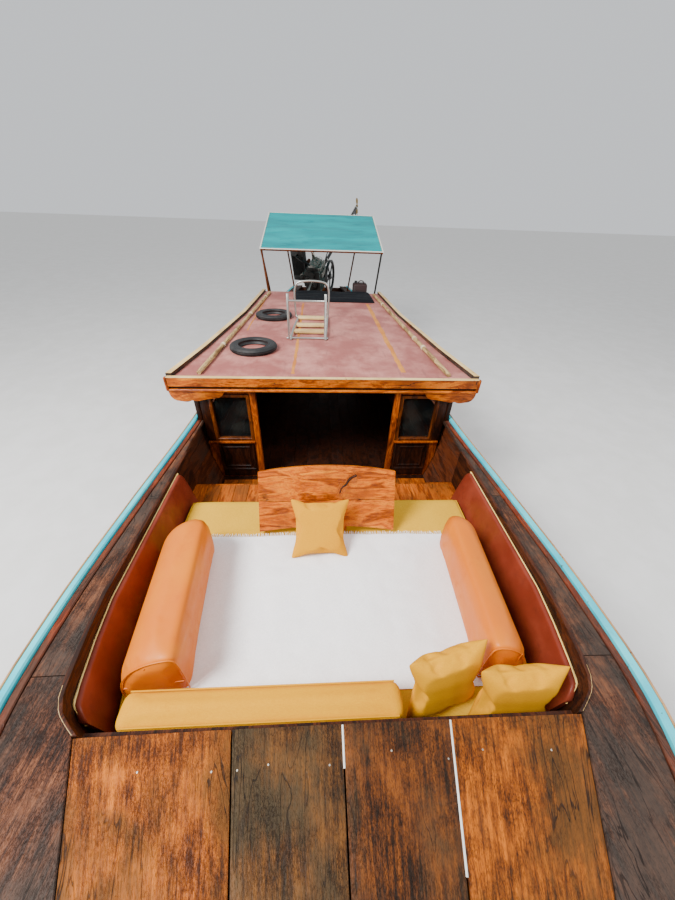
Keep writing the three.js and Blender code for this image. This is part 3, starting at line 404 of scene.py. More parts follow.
VARNISHED_UPRIGHT = timber(
    "varnished_upright", (72, 26, 2), (150, 64, 6), (200, 106, 18), "z", gloss=(0.27, 0.5), cracks=0.4,
)
DARK_WOOD = timber("dark_wood", (22, 10, 5), (58, 26, 10), (92, 46, 20), gloss=(0.42, 0.7))
# Near-black wood as painted shade: lower cabin front, its outer stiles, portal posts, the cabin's inner
# walls and floor, and the fascia's groove.
SHADE_WOOD = timber("painted_shade_wood", (13, 5, 2), (40, 16, 6), (66, 30, 12), "z", gloss=(0.34, 0.6))
FLOOR_WOOD = timber("floor_wood", (92, 36, 4), (168, 78, 10), (208, 112, 28), aged=(112, 62, 22), age=0.3)
HULL_PAINT = timber(
    "hull_paint", (44, 20, 10), (84, 40, 20), (112, 58, 32), aged=(60, 42, 32), age=0.2,
    gloss=(0.3, 0.55), cracks=0.3,
)
FRAME_WOOD = timber("frame_wood", (40, 16, 4), (96, 44, 8), (134, 68, 16), "z", gloss=(0.3, 0.55))
POLE_WOOD = timber("pole_wood", (110, 82, 48), (180, 148, 98), (214, 184, 132), gloss=(0.55, 0.8))
RUB_STRIP = paintwork("rub_strip", (186, 140, 92), (150, 108, 70), (90, 52, 30), 0.6, 0.6)
TURQUOISE = paintwork("turquoise_paint", (22, 176, 194), (74, 204, 214), (70, 96, 88), 0.4)
CREAM = paintwork("cream_paint", (228, 196, 134), (202, 166, 104), (128, 84, 40), 0.5, 0.5)
OCHRE = paintwork("ochre_seam", (206, 134, 48), (182, 108, 38), (126, 68, 34), 0.3, 0.6)
CAULK = paintwork("caulk", (236, 234, 226), (206, 202, 192), (120, 108, 92), 0.4, 0.7)
CAN = paintwork("fuel_can", (30, 9, 8), (46, 16, 13), (18, 9, 8), 0.5, 0.5)
BLACK_PAINT = paintwork("black_paint", (34, 33, 33), (58, 56, 54), (92, 66, 48), 0.5, 0.45)
GREEN_PAINT = paintwork("engine_paint", (72, 92, 88), (96, 112, 106), (52, 40, 32), 0.5, 0.5)
GROUND = paintwork("studio_floor", (226, 224, 220), (232, 230, 227), (216, 214, 209), 0, 0.8)
MAROON = vinyl("maroon_vinyl", (116, 44, 27), (70, 24, 15), (146, 66, 46))
PIPING = vinyl("cream_piping", (246, 204, 118), (208, 160, 84), (252, 224, 152))
ORANGE = vinyl("orange_vinyl", (208, 106, 0), (176, 76, 0), (216, 122, 0), 0.44)
YELLOW = cloth("yellow_fabric", (220, 156, 0), (200, 128, 0))
KHAKI = cloth("khaki_fabric", (222, 172, 40), (192, 142, 28), 0.8, 0.5)
WHITE = cloth("white_fabric", (253, 252, 251), (232, 230, 229), 0.5, 2.2, 0.2)
CANVAS = cloth("side_curtain_cloth", (10, 11, 14), (20, 23, 30), 0.7, 0.8)
HEM = cloth("hem_tape", (240, 236, 224), (212, 206, 192), 1, 0.3)
STEEL = metal("ladder_steel", (184, 184, 178), (96, 92, 84), 0.3, 0.9, 0.3)
DARK_STEEL = metal("dark_steel", (62, 60, 58), (30, 27, 25), 0.42, 0.8, 0.4)
IRON = metal("cast_iron", (70, 67, 64), (26, 23, 21), 0.5, 0.7, 0.5)
BRONZE = metal("prop_bronze", (168, 138, 78), (84, 74, 48), 0.3, 1.0, 0.1)
BRIGHT = metal("bright_metal", (214, 206, 192), (130, 120, 104), 0.25, 1.0, 0.15)
RUST = metal("exhaust_rust", (122, 74, 48), (70, 42, 30), 0.6, 0.45, 0.9)
ALUMINIUM = metal("cast_aluminium", (176, 172, 164), (104, 96, 86), 0.45, 0.85, 0.1)
RUBBER = rubber("tyre_rubber", (20, 20, 21), (74, 70, 67))
BELT = rubber("belt_rubber", (26, 25, 24), (60, 57, 54))
ROOFING = roof_covering("roof_sheet")
TARP = awning("teal_tarp")
GLASS = pane("window_glass")
ROPE = rope("rope", (222, 204, 168), (150, 120, 84))

# Meshes


def link(name, mesh, finish):
    obj = bpy.data.objects.new(name, mesh)
    bpy.context.scene.collection.objects.link(obj)
    mesh.materials.clear()
    mesh.materials.append(finish)
    return obj


def bake_modifiers(obj):
    """Works the object's modifiers into its mesh."""
    graph = bpy.context.evaluated_depsgraph_get()
    made = bpy.data.meshes.new_from_object(obj.evaluated_get(graph))
    obj.modifiers.clear()
    obj.data = made


def modify(obj, *steps):
    """Adds modifiers, given as (type, settings), and works them in."""
    for kind, settings in steps:
        modifier = obj.modifiers.new(kind.lower(), kind)
        for key, value in settings.items():
            setattr(modifier, key, value)
    bake_modifiers(obj)
    return obj


def bevel_step(width, segments=2, angle=None):
    """Modifier step that rounds edges, with an angle in radians where only sharper edges count."""
    limit = {"limit_method": "ANGLE", "angle_limit": angle} if angle else {}
    return "BEVEL", {"width": width, "segments": segments, **limit}


def settle(obj, slot, nodes=(), crease=32, body="root"):
    """Shades the piece, lets it ride on its body and stands for CAD nodes, which it hides. Its slot is not
    used.
    """
    obj.data.shade_smooth()
    obj.data.set_sharp_from_angle(angle=math.radians(crease))
    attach(obj, body)
    if nodes:
        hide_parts(*nodes)
    return obj


def rework(mesh, *steps):
    """Runs bmesh operators, given as (operator, settings), on all of the mesh."""
    work = bmesh.new()
    work.from_mesh(mesh)
    for operator, settings in steps:
        kinds = {"verts": work.verts, "edges": work.edges, "faces": work.faces}
        operator(work, **{key: kinds.get(value, value) for key, value in settings.items()})
    work.to_mesh(mesh)
    work.free()


MERGE = (bmesh.ops.remove_doubles, {"verts": "verts", "dist": 2e-5})
OUTWARDS = (bmesh.ops.recalc_face_normals, {"faces": "faces"})
FLAT_ANGLE = math.radians(0.4)
FLAT_JOINS = (bmesh.ops.dissolve_limit, {"verts": "verts", "edges": "edges", "angle_limit": FLAT_ANGLE})


def body_of_points(name, points, faces, finish, planks=None):
    """An object from points and faces. planks gives each point's plank number for its grain."""
    mesh = bpy.data.meshes.new(name)
    mesh.from_pydata([tuple(p) for p in points], [], faces)
    if planks is not None:
        mesh.attributes.new("plank", "FLOAT", "POINT").data.foreach_set("value", planks)
    rework(mesh, MERGE, OUTWARDS)
    return link(name, mesh, finish)


def loft(rings, caps=True, start=0):
    """Points and faces of a skin through rings of points."""
    count = len(rings[0])
    points = [p for ring in rings for p in ring]
    faces = []
    for i in range(len(rings) - 1):
        for j in range(count):
            k = (j + 1) % count
            low, high = start + i * count, start + (i + 1) * count
            faces.append((low + j, high + j, high + k, low + k))
    if caps:
        last = start + (len(rings) - 1) * count
        faces.append(tuple(start + j for j in range(count)))
        faces.append(tuple(last + j for j in reversed(range(count))))
    return points, faces


def lofts(name, bodies, finish):
    """One object of several lofted bodies, each with its own plank number."""
    points, faces, planks = [], [], []
    for number, rings in enumerate(bodies):
        more, skin = loft(rings, True, len(points))
        points += more
        faces += skin
        planks += [float(number)] * len(more)
    return body_of_points(name, points, faces, finish, planks)


def closed_lofts(name, bodies, finish):
    """One object of several skins that run round and close on themselves."""
    points, faces = [], []
    for rings in bodies:
        more, skin = loft([*rings, rings[0]], False, len(points))
        points += more
        faces += skin
    return body_of_points(name, points, faces, finish)


def piece(name, bodies, finish, slot, nodes=(), crease=32, rounding=None, place=None, body="root"):
    """A settled piece of several lofted bodies, bevelled and moved to its place where asked."""
    obj = lofts(name, bodies, finish)
    if rounding:
        modify(obj, bevel_step(*rounding))
    if place is not None:
        obj.data.transform(place)
    return settle(obj, slot, nodes, crease, body)


def smooth_path(points, per=6):
    """Points along a smooth curve through the given ones."""
    points = [Vector(p) for p in points]
    ends = [2 * points[0] - points[1], *points, 2 * points[-1] - points[-2]]
    path = []
    for a, b, c, d in zip(ends, ends[1:], ends[2:], ends[3:]):
        slope, bend, twist = c - a, 2 * a - 5 * b + 4 * c - d, 3 * b - a - 3 * c + d
        for step in range(per):
            t = step / per
            path.append(0.5 * (2 * b + slope * t + bend * t**2 + twist * t**3))
    return [*path, points[-1]]


def tube_rings(path, radius, sides=10):
    """Rings of a round bar along a path. radius is a number or a function of the share run."""
    path = [Vector(p) for p in path]
    last = len(path) - 1
    normal = None
    rings = []
    for i, point in enumerate(path):
        way = (path[min(i + 1, last)] - path[max(i - 1, 0)]).normalized()
        if normal is None:
            normal = way.orthogonal().normalized()
        normal = (normal - way * normal.dot(way)).normalized()
        across = way.cross(normal)
        size = radius(i / last) if callable(radius) else radius
        turns = [2 * math.pi * j / sides for j in range(sides)]
        rings.append([point + normal * math.cos(t) * size + across * math.sin(t) * size for t in turns])
    return rings


def bars(name, paths, radius, finish, slot, sides=10, **settling):
    """A settled piece of several round bars."""
    return piece(name, [tube_rings(path, radius, sides) for path in paths], finish, slot, **settling)


def box_ring(x, y0, y1, z0, z1):
    return [(x, y0, z0), (x, y1, z0), (x, y1, z1), (x, y0, z1)]


def block(low, high):
    """Rings of a plain box from its lowest to its highest corner."""
    return [box_ring(x, low[1], high[1], low[2], high[2]) for x in (low[0], high[0])]


def side_block(side, x0, x1, span):
    """Rings of a plain box on one side. span holds its two distances from the middle, foot and top."""
    y0, y1, z0, z1 = span
    near, far = sorted((side * y0, side * y1))
    return block((x0, near, z0), (x1, far, z1))


def arc(radius, start, end, count):
    """Offsets (across, up) of points on part of a circle."""
    return [(radius * math.cos(t), radius * math.sin(t)) for t in np.linspace(start, end, count)]


def ripple(*place):
    """Smooth noise of about -1 to 1 at a place."""
    return noise.noise(Vector(place))


def dress(node, finish, slot, edge=0.003, segments=2, crease=32, body="root"):
    """A bevelled copy of a CAD node's solid, which it stands for."""
    mesh = NODES[node].data.copy()
    rework(mesh, MERGE, FLAT_JOINS)
    obj = link(f"{node}_dressed", mesh, finish)
    modify(obj, bevel_step(edge, segments, math.radians(30)))
    return settle(obj, slot, (node,), crease, body)


def cloth_grid(name, corner, far, counts, spot, finish, thick):
    """Thin cloth between two corners, its points set by spot(x, y). Also gives its first row."""
    (x0, y0), (x1, y1), (nx, ny) = corner, far, counts
    xs = [x0 + (x1 - x0) * i / nx for i in range(nx + 1)]
    ys = [y0 + (y1 - y0) * j / ny for j in range(ny + 1)]
    points = [spot(x, y) for x in xs for y in ys]
    row = ny + 1
    starts = [i * row + j for i in range(nx) for j in range(ny)]
    mesh = bpy.data.meshes.new(name)
    mesh.from_pydata(points, [], [(a, a + row, a + row + 1, a + 1) for a in starts])
    obj = modify(link(name, mesh, finish), ("SOLIDIFY", {"thickness": thick, "offset": 0}))
    return obj, points[:row]


# Small shapes set on points by a node tree

SHAPES = ("head", "strand", "ring")
# What each tree takes in. Columns: label, kind of socket.
SOCKETS = (
    ("Geometry", "Geometry"), ("Radius", "Float"), ("Height", "Float"),
    ("Jitter", "Float"), ("Seed", "Int"), ("Finish", "Material"),
)


def repeat_tree(shape):
    """Tree that sets one small shape on every point and turns it to the point's facing."""
    tree = bpy.data.node_groups.new(f"repeat_{shape}", "GeometryNodeTree")
    for label, kind in SOCKETS:
        tree.interface.new_socket(label, in_out="INPUT", socket_type=f"NodeSocket{kind}")
    tree.interface.new_socket("Geometry", in_out="OUTPUT", socket_type="NodeSocketGeometry")

    def add(kind, settings=None, values=None):
        node = tree.nodes.new(kind)
        for key, value in (settings or {}).items():
            setattr(node, key, value)
        for key, value in (values or {}).items():
            if isinstance(value, bpy.types.NodeSocket):
                tree.links.new(value, node.inputs[key])
            else:
                node.inputs[key].default_value = value
        return node.outputs

    given = add("NodeGroupInput")
    radius, height = given["Radius"], given["Height"]
    if shape == "head":
        size = {"Vertices": 10, "Radius": radius, "Depth": height}
        form = add("GeometryNodeMeshCylinder", None, size)["Mesh"]
    else:
        if shape == "strand":
            tip = add("ShaderNodeCombineXYZ", None, {2: height})
            line = add("GeometryNodeCurvePrimitiveLine", None, {"End": tip[0]})["Curve"]
            section = radius
        else:
            circle = {"Resolution": 20, "Radius": radius}
            line = add("GeometryNodeCurvePrimitiveCircle", None, circle)["Curve"]
            section = height
        circle = {"Resolution": 6, "Radius": section}
        profile = add("GeometryNodeCurvePrimitiveCircle", None, circle)["Curve"]
        skin = {"Curve": line, "Profile Curve": profile, "Fill Caps": True}
        form = add("GeometryNodeCurveToMesh", None, skin)[0]
    vectors = {"data_type": "FLOAT_VECTOR"}
    facing = add("GeometryNodeInputNamedAttribute", vectors, {"Name": "facing"})["Attribute"]
    draw = {0: (-1, -1, -1), 1: (1, 1, 1), "Seed": given["Seed"]}
    stir = add("FunctionNodeRandomValue", vectors, draw)
    amount = {0: stir[0], "Scale": given["Jitter"]}
    shaken = add("ShaderNodeVectorMath", {"operation": "SCALE"}, amount)[0]
    way = add("ShaderNodeVectorMath", {"operation": "ADD"}, {0: facing, 1: shaken})[0]
    turn = add("FunctionNodeAlignRotationToVector", {"axis": "Z"}, {"Vector": way})["Rotation"]
    cloud = add("GeometryNodeMeshToPoints", None, {"Mesh": given["Geometry"]})["Points"]
    copies = {"Points": cloud, "Instance": form, "Rotation": turn}
    placed = add("GeometryNodeInstanceOnPoints", None, copies)[0]
    real = add("GeometryNodeRealizeInstances", None, {"Geometry": placed})[0]
    finished = add("GeometryNodeSetMaterial", None, {"Geometry": real, "Material": given["Finish"]})[0]
    add("NodeGroupOutput", None, {"Geometry": finished})
    return tree


TREES = {shape: repeat_tree(shape) for shape in SHAPES}


def repeat(name, shape, points, ways, radius, height, finish, slot, jitter=0.0, seed=1, body="root"):
    """Sets the small shape on each point as one piece. ways is one facing, or a list with one each."""
    ways = [ways] * len(points) if isinstance(ways, tuple) else ways
    mesh = bpy.data.meshes.new(name)
    mesh.from_pydata([tuple(p) for p in points], [], [])
    flat = [c for way in ways for c in way]
    mesh.attributes.new("facing", "FLOAT_VECTOR", "POINT").data.foreach_set("vector", flat)
    obj = link(name, mesh, finish)
    modifier = obj.modifiers.new("repeat", "NODES")
    modifier.node_group = TREES[shape]
    wanted = {"Radius": radius, "Height": height, "Jitter": jitter, "Seed": seed, "Finish": finish}
    for item in TREES[shape].interface.items_tree:
        if item.in_out == "INPUT" and item.name in wanted:
            modifier[item.identifier] = wanted[item.name]
    bake_modifiers(obj)
    obj.data.materials.clear()
    obj.data.materials.append(finish)
    return settle(obj, slot, body=body)


# Hull lines, in millimetres: x, half beam, sheer, half width and height of the bilge, keel height

LINES = (
    (-5950, 610, 900, 430, 90, -110),
    (-5000, 845, 845, 640, -30, -240),
    (-4000, 1010, 820, 790, -110, -320),
    (-2000, 1160, 805, 930, -160, -370),
    (0, 1250, 825, 1030, -165, -380),
    (1000, 1320, 855, 1080, -150, -385),
    (1750, 1350, 885, 1085, -120, -380),
    (2250, 1310, 915, 1010, -80, -370),
    (2800, 1105, 965, 800, 0, -340),
    (3400, 840, 1040, 560, 130, -270),
    (4000, 600, 1140, 370, 310, -140),
    (4600, 390, 1270, 230, 540, 90),
    (5200, 215, 1430, 135, 830, 430),
    (5600, 110, 1560, 80, 1070, 800),
)
# Opening between the covering boards, in millimetres: x, half width
DECK_INNER = (
    (-5945, 430), (-3900, 925), (-130, 1150), (1650, 1168), (1850, 1147), (2040, 1117), (2110, 1100),
    (2165, 1068), (2205, 1020), (2240, 972), (2640, 785), (3400, 400), (4100, 110),
)
STERN, BOW = -5.95, 5.6
END_GAP = 0.005
FLARE = 0.15
DECK = 0.028
RAIL_WIDTH = 0.038
RAIL_RISE = 0.024
RUB_THICK = 0.012
CAMBER = 0.032
PLANK = 0.034


def hull_at(x):
    """Half beam, sheer, half bilge, bilge height and keel height on the fair lines at x."""
    rows = np.array(LINES) * MM
    at = rows[:, 0]
    i = int(np.clip(np.searchsorted(at, x), 1, len(at) - 1))
    before, after = at[i - 1], at[i]
    half = (after - before) / 2
    first, last = i == 1, i == len(at) - 1
    behind, ahead = (i if first else i - 2), (i - 1 if last else i + 1)
    low = half / (before - (after if first else at[i - 2]))
    high = half / ((before if last else at[i + 1]) - after)
    t = (x - before) / (after - before)
    shares = (
        -low * t**3 + 2 * low * t**2 - low * t,
        (1 + low) * t**3 + (-1.5 - 2 * low) * t**2 + (low - 0.5) * t + 1,
        (-1 - high) * t**3 + (1.5 + high) * t**2 + 0.5 * t,
        high * t**3 - high * t**2,
    )
    return sum(share * rows[k][1:] for share, k in zip(shares, (behind, i - 1, i, ahead)))


def half_beam(x):
    return hull_at(x)[0]


def read_table(rows, x):
    """Value at x between the rows (x, value)."""
    xs, values = zip(*rows)
    return float(np.interp(x, xs, values))


def deck_inner(x):
    """Half width of the opening between the covering boards."""
    return read_table(DECK_INNER, x / MM) * MM


def deck_top(x, y):
    beam, sheer = hull_at(x)[:2]
    return sheer + CAMBER * max(0, 1 - (y / beam) ** 2)


def topside(x, u):
    """Point on the outer skin, u from the sheer down to the bilge."""
    beam, sheer, bilge, bilge_z, _ = hull_at(x)
    y = beam + (bilge - beam) * u + (beam - bilge) * FLARE * math.sin(math.pi * u)
    top = sheer - DECK - 0.001
    return y, top + (bilge_z - top) * u


def spaced(low, high, step):
    count = max(2, round(abs(high - low) / step) + 1)
    return [float(v) for v in np.linspace(low, high, count)]


# Hull, rails and decks

STRAKE_GAP = 0.0022
STRAKES = 6
# Where the hull planks of each row meet, from the sheer down
BUTTS = ((-2.9, 1.35), (-4.3, -0.4, 3.1), (-1.6, 2.4), (-3.5, 0.5), (-4.6, -0.9, 2.0), (-2.3, 1.6))
DECK_BUTTS = (STERN + END_GAP, -4.15, -2.35, -0.62, 0.95, 2.03, 4.1)
PLANK_EDGES = (-1, -0.409, 0.016, 0.445, 1)
SEAM = 0.006
FOREDECK = (2.245, 4.095)
FOREDECK_THICK = 0.04
BEAMS = (2.34, 3.1, 3.9)


def strake(side, x0, x1, u0, u1):
    """Rings of one hull plank between two girth lines, its outer edges eased."""
    ease = 0.004
    rings = []
    for x in spaced(x0, x1, 0.24):
        outer = [topside(x, u0 + (u1 - u0) * t) for t in (0, 0.25, 0.5, 0.75, 1)]
        (ya, za), (yb, zb) = outer[0], outer[-1]
        front = [(ya - ease, za), (ya, za - ease), *outer[1:-1], (yb, zb + ease), (yb - ease, zb)]
        bilge, bilge_z, keel_z = hull_at(x)[2:]
        # The lowest plank's inner edge follows the rise of the bottom planking
        drop = PLANK * (bilge_z - keel_z) / bilge if u1 > 0.99 else 0
        back = [(yb - PLANK, zb - drop), (outer[2][0] - PLANK, outer[2][1]), (ya - PLANK, za)]
        rings.append([(x, side * y, z) for y, z in (*front, *back)])
    return rings


def make_topsides():
    """Carvel planking with open seams and staggered butts."""
    for name, side in SIDES:
        bodies = []
        for row in range(STRAKES):
            u0, u1 = row / STRAKES + (STRAKE_GAP if row else 0), (row + 1) / STRAKES - STRAKE_GAP
            ends = (STERN, *BUTTS[row], BOW)
            for aft, fore in zip(ends, ends[1:]):
                bodies.append(strake(side, aft + 0.001, fore - 0.001, u0, u1))
        nodes = [f"topside_{name}_{length}" for length in ("aft", "middle", "fore")]
        piece(f"topside_planks_{name}", bodies, HULL_PAINT, "hull_paint", nodes, 24)


def band(side, xs, outer, inner, top, thick, round_edge=0.004, rows=3):
    """Rings of a long board: outer(x) and inner(x) are half widths, top(x, y) its upper face."""
    rings = []
    for x in xs:
        out, inn = outer(x), inner(x)
        step = min(round_edge, abs(out - inn) / 3)
        upper = [(y, top(x, y)) for y in np.linspace(out - step, inn + step, rows)]
        section = [
            (out, top(x, out) - thick), (out, top(x, out) - step), *upper,
            (inn, top(x, inn) - step), (inn, top(x, inn) - thick),
        ]
        rings.append([(x, side * y, z) for y, z in section])
    return rings


def rail_top(x, y):
    return hull_at(x)[1] + RAIL_RISE


def strip_inner(x):
    return max(half_beam(x) - RAIL_WIDTH - 0.038, deck_inner(x) + 0.006)


def cover_outer(x):
    return max(half_beam(x) - RAIL_WIDTH - 0.042, deck_inner(x) + 0.008)


def make_rails():
    """Painted rail, the bare rubbing strip outside it and the stained strip inside it."""
    xs = spaced(STERN + END_GAP, BOW - END_GAP, 0.12)
    inside = spaced(STERN + END_GAP, FOREDECK[1], 0.12)
    rail_inner = lambda x: half_beam(x) - RAIL_WIDTH + 0.0006
    rub_outer, rub_inner = (lambda x: half_beam(x) + RUB_THICK), (lambda x: half_beam(x) + 0.0012)
    rub_top = lambda x, y: rail_top(x, y) - 0.003
    strip_outer = lambda x: half_beam(x) - RAIL_WIDTH - 0.003
    strip_top = lambda x, y: deck_top(x, y) + 0.006
    for name, side in SIDES:
        rail = band(side, xs, half_beam, rail_inner, rail_top, 0.05, 0.007, 4)
        rub = band(side, xs, rub_outer, rub_inner, rub_top, 0.1, 0.003)
        strip = band(side, inside, strip_outer, strip_inner, strip_top, 0.028)
        piece(f"rail_painted_{name}", [rail], TURQUOISE, "turquoise_paint", (f"rail_{name}",), 40)
        piece(f"rub_strip_{name}", [rub], RUB_STRIP, "turquoise_paint", (), 40)
        piece(f"rail_strip_{name}", [strip], GUNWALE_WOOD, "side_wood", (), 40)


def make_side_decks():
    """Covering boards butted end to end inside the rail strips."""
    turns = [x * MM for x, _ in DECK_INNER]
    for name, side in SIDES:
        bodies = []
        for aft, fore in zip(DECK_BUTTS, DECK_BUTTS[1:]):
            kept = [x for x in turns if aft + 0.01 < x < fore - 0.01]
            xs = sorted({*spaced(aft + 0.002, fore - 0.002, 0.1), *kept})
            bodies.append(band(side, xs, cover_outer, deck_inner, deck_top, DECK, 0.003, 5))
        nodes = [f"side_deck_{name}_{length}" for length in ("aft", "fore")]
        piece(f"covering_boards_{name}", bodies, SIDE_WOOD, "side_wood", nodes, 30)


def deck_plank(low, high):
    """Rings of one foredeck plank, slightly cupped between its eased edges."""
    rings = []
    cup = 0.0025
    for x in spaced(*FOREDECK, 0.05):
        half = deck_inner(x)
        a, b = low * half + SEAM / 2, high * half - SEAM / 2
        ease = min(0.006, (b - a) / 6)
        upper = []
        for mark in (0, 0.15, 0.5, 1, *np.linspace(2, 8, 7), 9, 9.5, 9.85, 10):
            t = mark / 10
            edge = min(mark, 10 - mark)
            drop = ease * (1 - min(edge, 1)) ** 2 + cup * 4 * t * (1 - t)
            y = a + (b - a) * t
            upper.append((x, y, deck_top(x, y) - drop))
        rings.append([*upper, *((x, y, deck_top(x, y) - FOREDECK_THICK) for y in (b, a))])
    return rings


# Nail and screw heads over each foredeck beam. Columns: share across the deck, offset along it.
SCREWS = (
    (-0.75, 0.01), (-0.48, 0.02), (-0.385, 0.02), (-0.27, 0.01), (-0.04, 0.02),
    (0.2, -0.01), (0.42, 0.02), (0.56, 0), (0.84, 0.01),
)
# White stopping pressed into two foredeck seams. Columns: share across, aft x, fore x.
STOPPINGS = ((PLANK_EDGES[2], 2.247, 2.37), (PLANK_EDGES[3], 2.247, 2.62))


def deck_spot(x, share, sink):
    y = share * deck_inner(x)
    return (x, y, deck_top(x, y) - sink)


def make_foredeck():
    for number, (low, high) in enumerate(zip(PLANK_EDGES, PLANK_EDGES[1:]), 1):
        rings, wood, nodes = deck_plank(low, high), DECK_WOODS[number - 1], (f"foredeck_plank_{number}",)
        board = piece(f"foredeck_board_{number}", [rings], wood, "deck_wood", nodes, 28)
        grain = [float(number * 2)] * len(board.data.vertices)
        board.data.attributes["plank"].data.foreach_set("value", grain)
    spots = [deck_spot(beam + shift, share, 0.0008) for beam in BEAMS for share, shift in SCREWS]
    repeat("deck_screws", "head", spots, (0, 0, 1), 0.0032, 0.0025, BRIGHT, "dark_steel")
    paths = []
    for share, aft, fore in STOPPINGS:
        paths.append([deck_spot(x, share, 0.006) for x in spaced(aft, fore, 0.04)])
    bars("seam_stopping", paths, SEAM / 2 + 0.0008, CAULK, "white_fabric", 8)


def make_coaming():
    """Well coaming, with a painted highlight along the edge of its front corners."""
    dress("coaming", DARK_WOOD, "dark_wood")
    # Painted highlight: a pale bar along the coaming's edge at its front corners.
    edge = [(x, deck_inner(x)) for x in spaced(2.07, 2.238, 0.02)]
    paths = [[(x, side * (y - 0.004), deck_top(x, y) + 0.0065) for x, y in edge] for side in (1, -1)]
    bars("coaming_edge_highlight", paths, 0.0012, POLE_WOOD, "dark_wood", 6)


# Soft furnishings

WELL_BED = 0.6253
BACKREST = {
    "aft": 0.64, "fore": 2.16, "foot": 0.4983, "top": 0.84, "lean": 0.06, "thick": 0.035, "inset": 0.021,
}
PLEATS = 13
# Loose cushions. Columns: node, tilt about Y, turn about Z.
CUSHIONS = (("cushion_centre", 0.9, 0), ("cushion_port_1", 1.35, 0.25), ("cushion_port_2", 1.4, 0.02))
CUSHION_SIZE = 0.39
CUSHION_THICK = 0.11
BOLSTER = {"high": 0.327, "long": 0.9, "foot": WELL_BED + 0.0083}
# Side bolsters. Columns: name, side, x, y, turn, width.
BOLSTERS = (("port", 1, 1.56, 0.735, 0.05, 0.215), ("starboard", -1, 1.56, 0.722, -0.09, 0.295))
MATTRESS_CORNER = 0.028
FRINGE = 0.03
# Reclined backboard, its place and the groove carved in its face, as (y, z) on the board
BOARD = {"wide": 0.935, "high": 0.425, "thick": 0.034, "arch": 0.042, "dip": 0.036}
BOARD_FRAME = Matrix.Translation((1.085, -0.012, 0.664)) @ Matrix.Rotation(-0.46, 4, "Y")
BOARD_GROOVE = ((0.2, 0.4), (0.155, 0.375), (0.13, 0.335), (0.1, 0.31), (0.085, 0.27))
# Cloth settings of a stuffed cover
PRESSED = {
    "quality": 6, "mass": 0.3, "tension_stiffness": 12, "compression_stiffness": 8,
    "shear_stiffness": 4, "bending_stiffness": 0.6, "use_pressure": True,
}


def relax(obj, voxel, pressure, cap, steps):
    """Remeshes a pad and lets its cover swell and crease a little, by no more than the cap."""
    modify(obj, ("REMESH", {"mode": "VOXEL", "voxel_size": voxel}))
    swell(obj, pressure, cap, steps)
    return modify(obj, ("SMOOTH", {"factor": 0.5, "iterations": 4}))


def swell(obj, pressure, cap, steps):
    """Runs cloth with inner pressure and no gravity, then keeps the moved points up to the cap."""
    scene = bpy.context.scene
    modifier = obj.modifiers.new("cover", "CLOTH")
    for key, value in PRESSED.items():
        setattr(modifier.settings, key, value)
    modifier.settings.uniform_pressure_force = pressure
    modifier.settings.effector_weights.gravity = 0
    modifier.collision_settings.use_collision = False
    modifier.point_cache.frame_start = 1
    modifier.point_cache.frame_end = steps
    still = points_of(obj.data)
    for step in range(1, steps + 1):
        scene.frame_set(step)
    graph = bpy.context.evaluated_depsgraph_get()
    moved = points_of(obj.evaluated_get(graph).data)
    obj.modifiers.clear()
    shift = moved - still
    size = np.linalg.norm(shift, axis=1, keepdims=True)
    shift *= np.minimum(1, cap / np.maximum(size, 1e-9))
    set_points(obj.data, still + shift)
    scene.frame_set(1)


def points_of(mesh):
    flat = np.empty(len(mesh.vertices) * 3, np.float32)
    mesh.vertices.foreach_get("co", flat)
    return flat.reshape(-1, 3)


def set_points(mesh, points):
    mesh.vertices.foreach_set("co", np.ascontiguousarray(points, np.float32).ravel())
    mesh.update()


def pillow_mesh(name, size, thick, cells=34):
    """Square cushion from two layers sewn at the rim, in its own flat frame."""
    points, faces = [], []
    count = cells + 1
    marks = [2 * i / cells - 1 for i in range(count)]

    def spot(u, v, up):
        crown = ((1 - u * u) * (1 - v * v)) ** 0.42
        pinch = 1 + 0.012 * (1 - v * v)
        waist = 1 + 0.012 * (1 - u * u)
        waves = 0.05 * math.sin(9 * (u - v)) * math.sin(7 * (u + v)) * crown
        return (u * pinch * size / 2, v * waist * size / 2, up * thick / 2 * crown * (1 + waves))

    for up in (1, -1):
        base = len(points)
        points += [spot(u, v, up) for u in marks for v in marks]
        for a in (base + i * count + j for i in range(cells) for j in range(cells)):
            faces.append((a, a + count, a + count + 1, a + 1)[::up])
    return body_of_points(name, points, faces, YELLOW)


def fit_to(obj, size, thick):
    """Scales the pillow back to its real size after it has swollen."""
    points = points_of(obj.data)
    low, high = points.min(axis=0), points.max(axis=0)
    points = (points - (low + high) / 2) * (np.array((size, size, thick)) / (high - low))
    set_points(obj.data, points)


def make_cushions():
    for node, tilt, turn in CUSHIONS:
        start_thick = 0.05
        obj = pillow_mesh(f"{node}_cover", CUSHION_SIZE * 1.05, start_thick)
        swell(obj, 4, 0.05, 24)
        fit_to(obj, CUSHION_SIZE, CUSHION_THICK)
        low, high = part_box(node)
        centre = (Vector(low) + Vector(high)) / 2
        modify(obj, ("SUBSURF", {"levels": 1, "render_levels": 1}))
        turned = Matrix.Rotation(turn, 4, "Z") @ Matrix.Rotation(tilt, 4, "Y")
        obj.data.transform(Matrix.Translation(centre) @ turned)
        settle(obj, "yellow_fabric", (node,), 60)


def bolster_profile(wide):
    """Upright inner face, rounded top corner and a top that falls to a thin outer lip."""
    high = BOLSTER["high"]
    corner = 0.035
    inner = [(0.006, 0.0), (0.0, 0.02), (-0.004, high * 0.35), (-0.004, high * 0.7)]
    shoulder = [(corner - x, high - corner + z) for x, z in arc(corner, 0.15, 1.4, 5)]
    turns = np.linspace(0.12, math.pi / 2, 14)
    fall = [(corner + (wide - corner) * math.sin(t), 0.03 + (high - 0.03) * math.cos(t)) for t in turns]
    return [*inner, *shoulder, *fall, (wide, 0.012), (wide - 0.01, 0.0)]


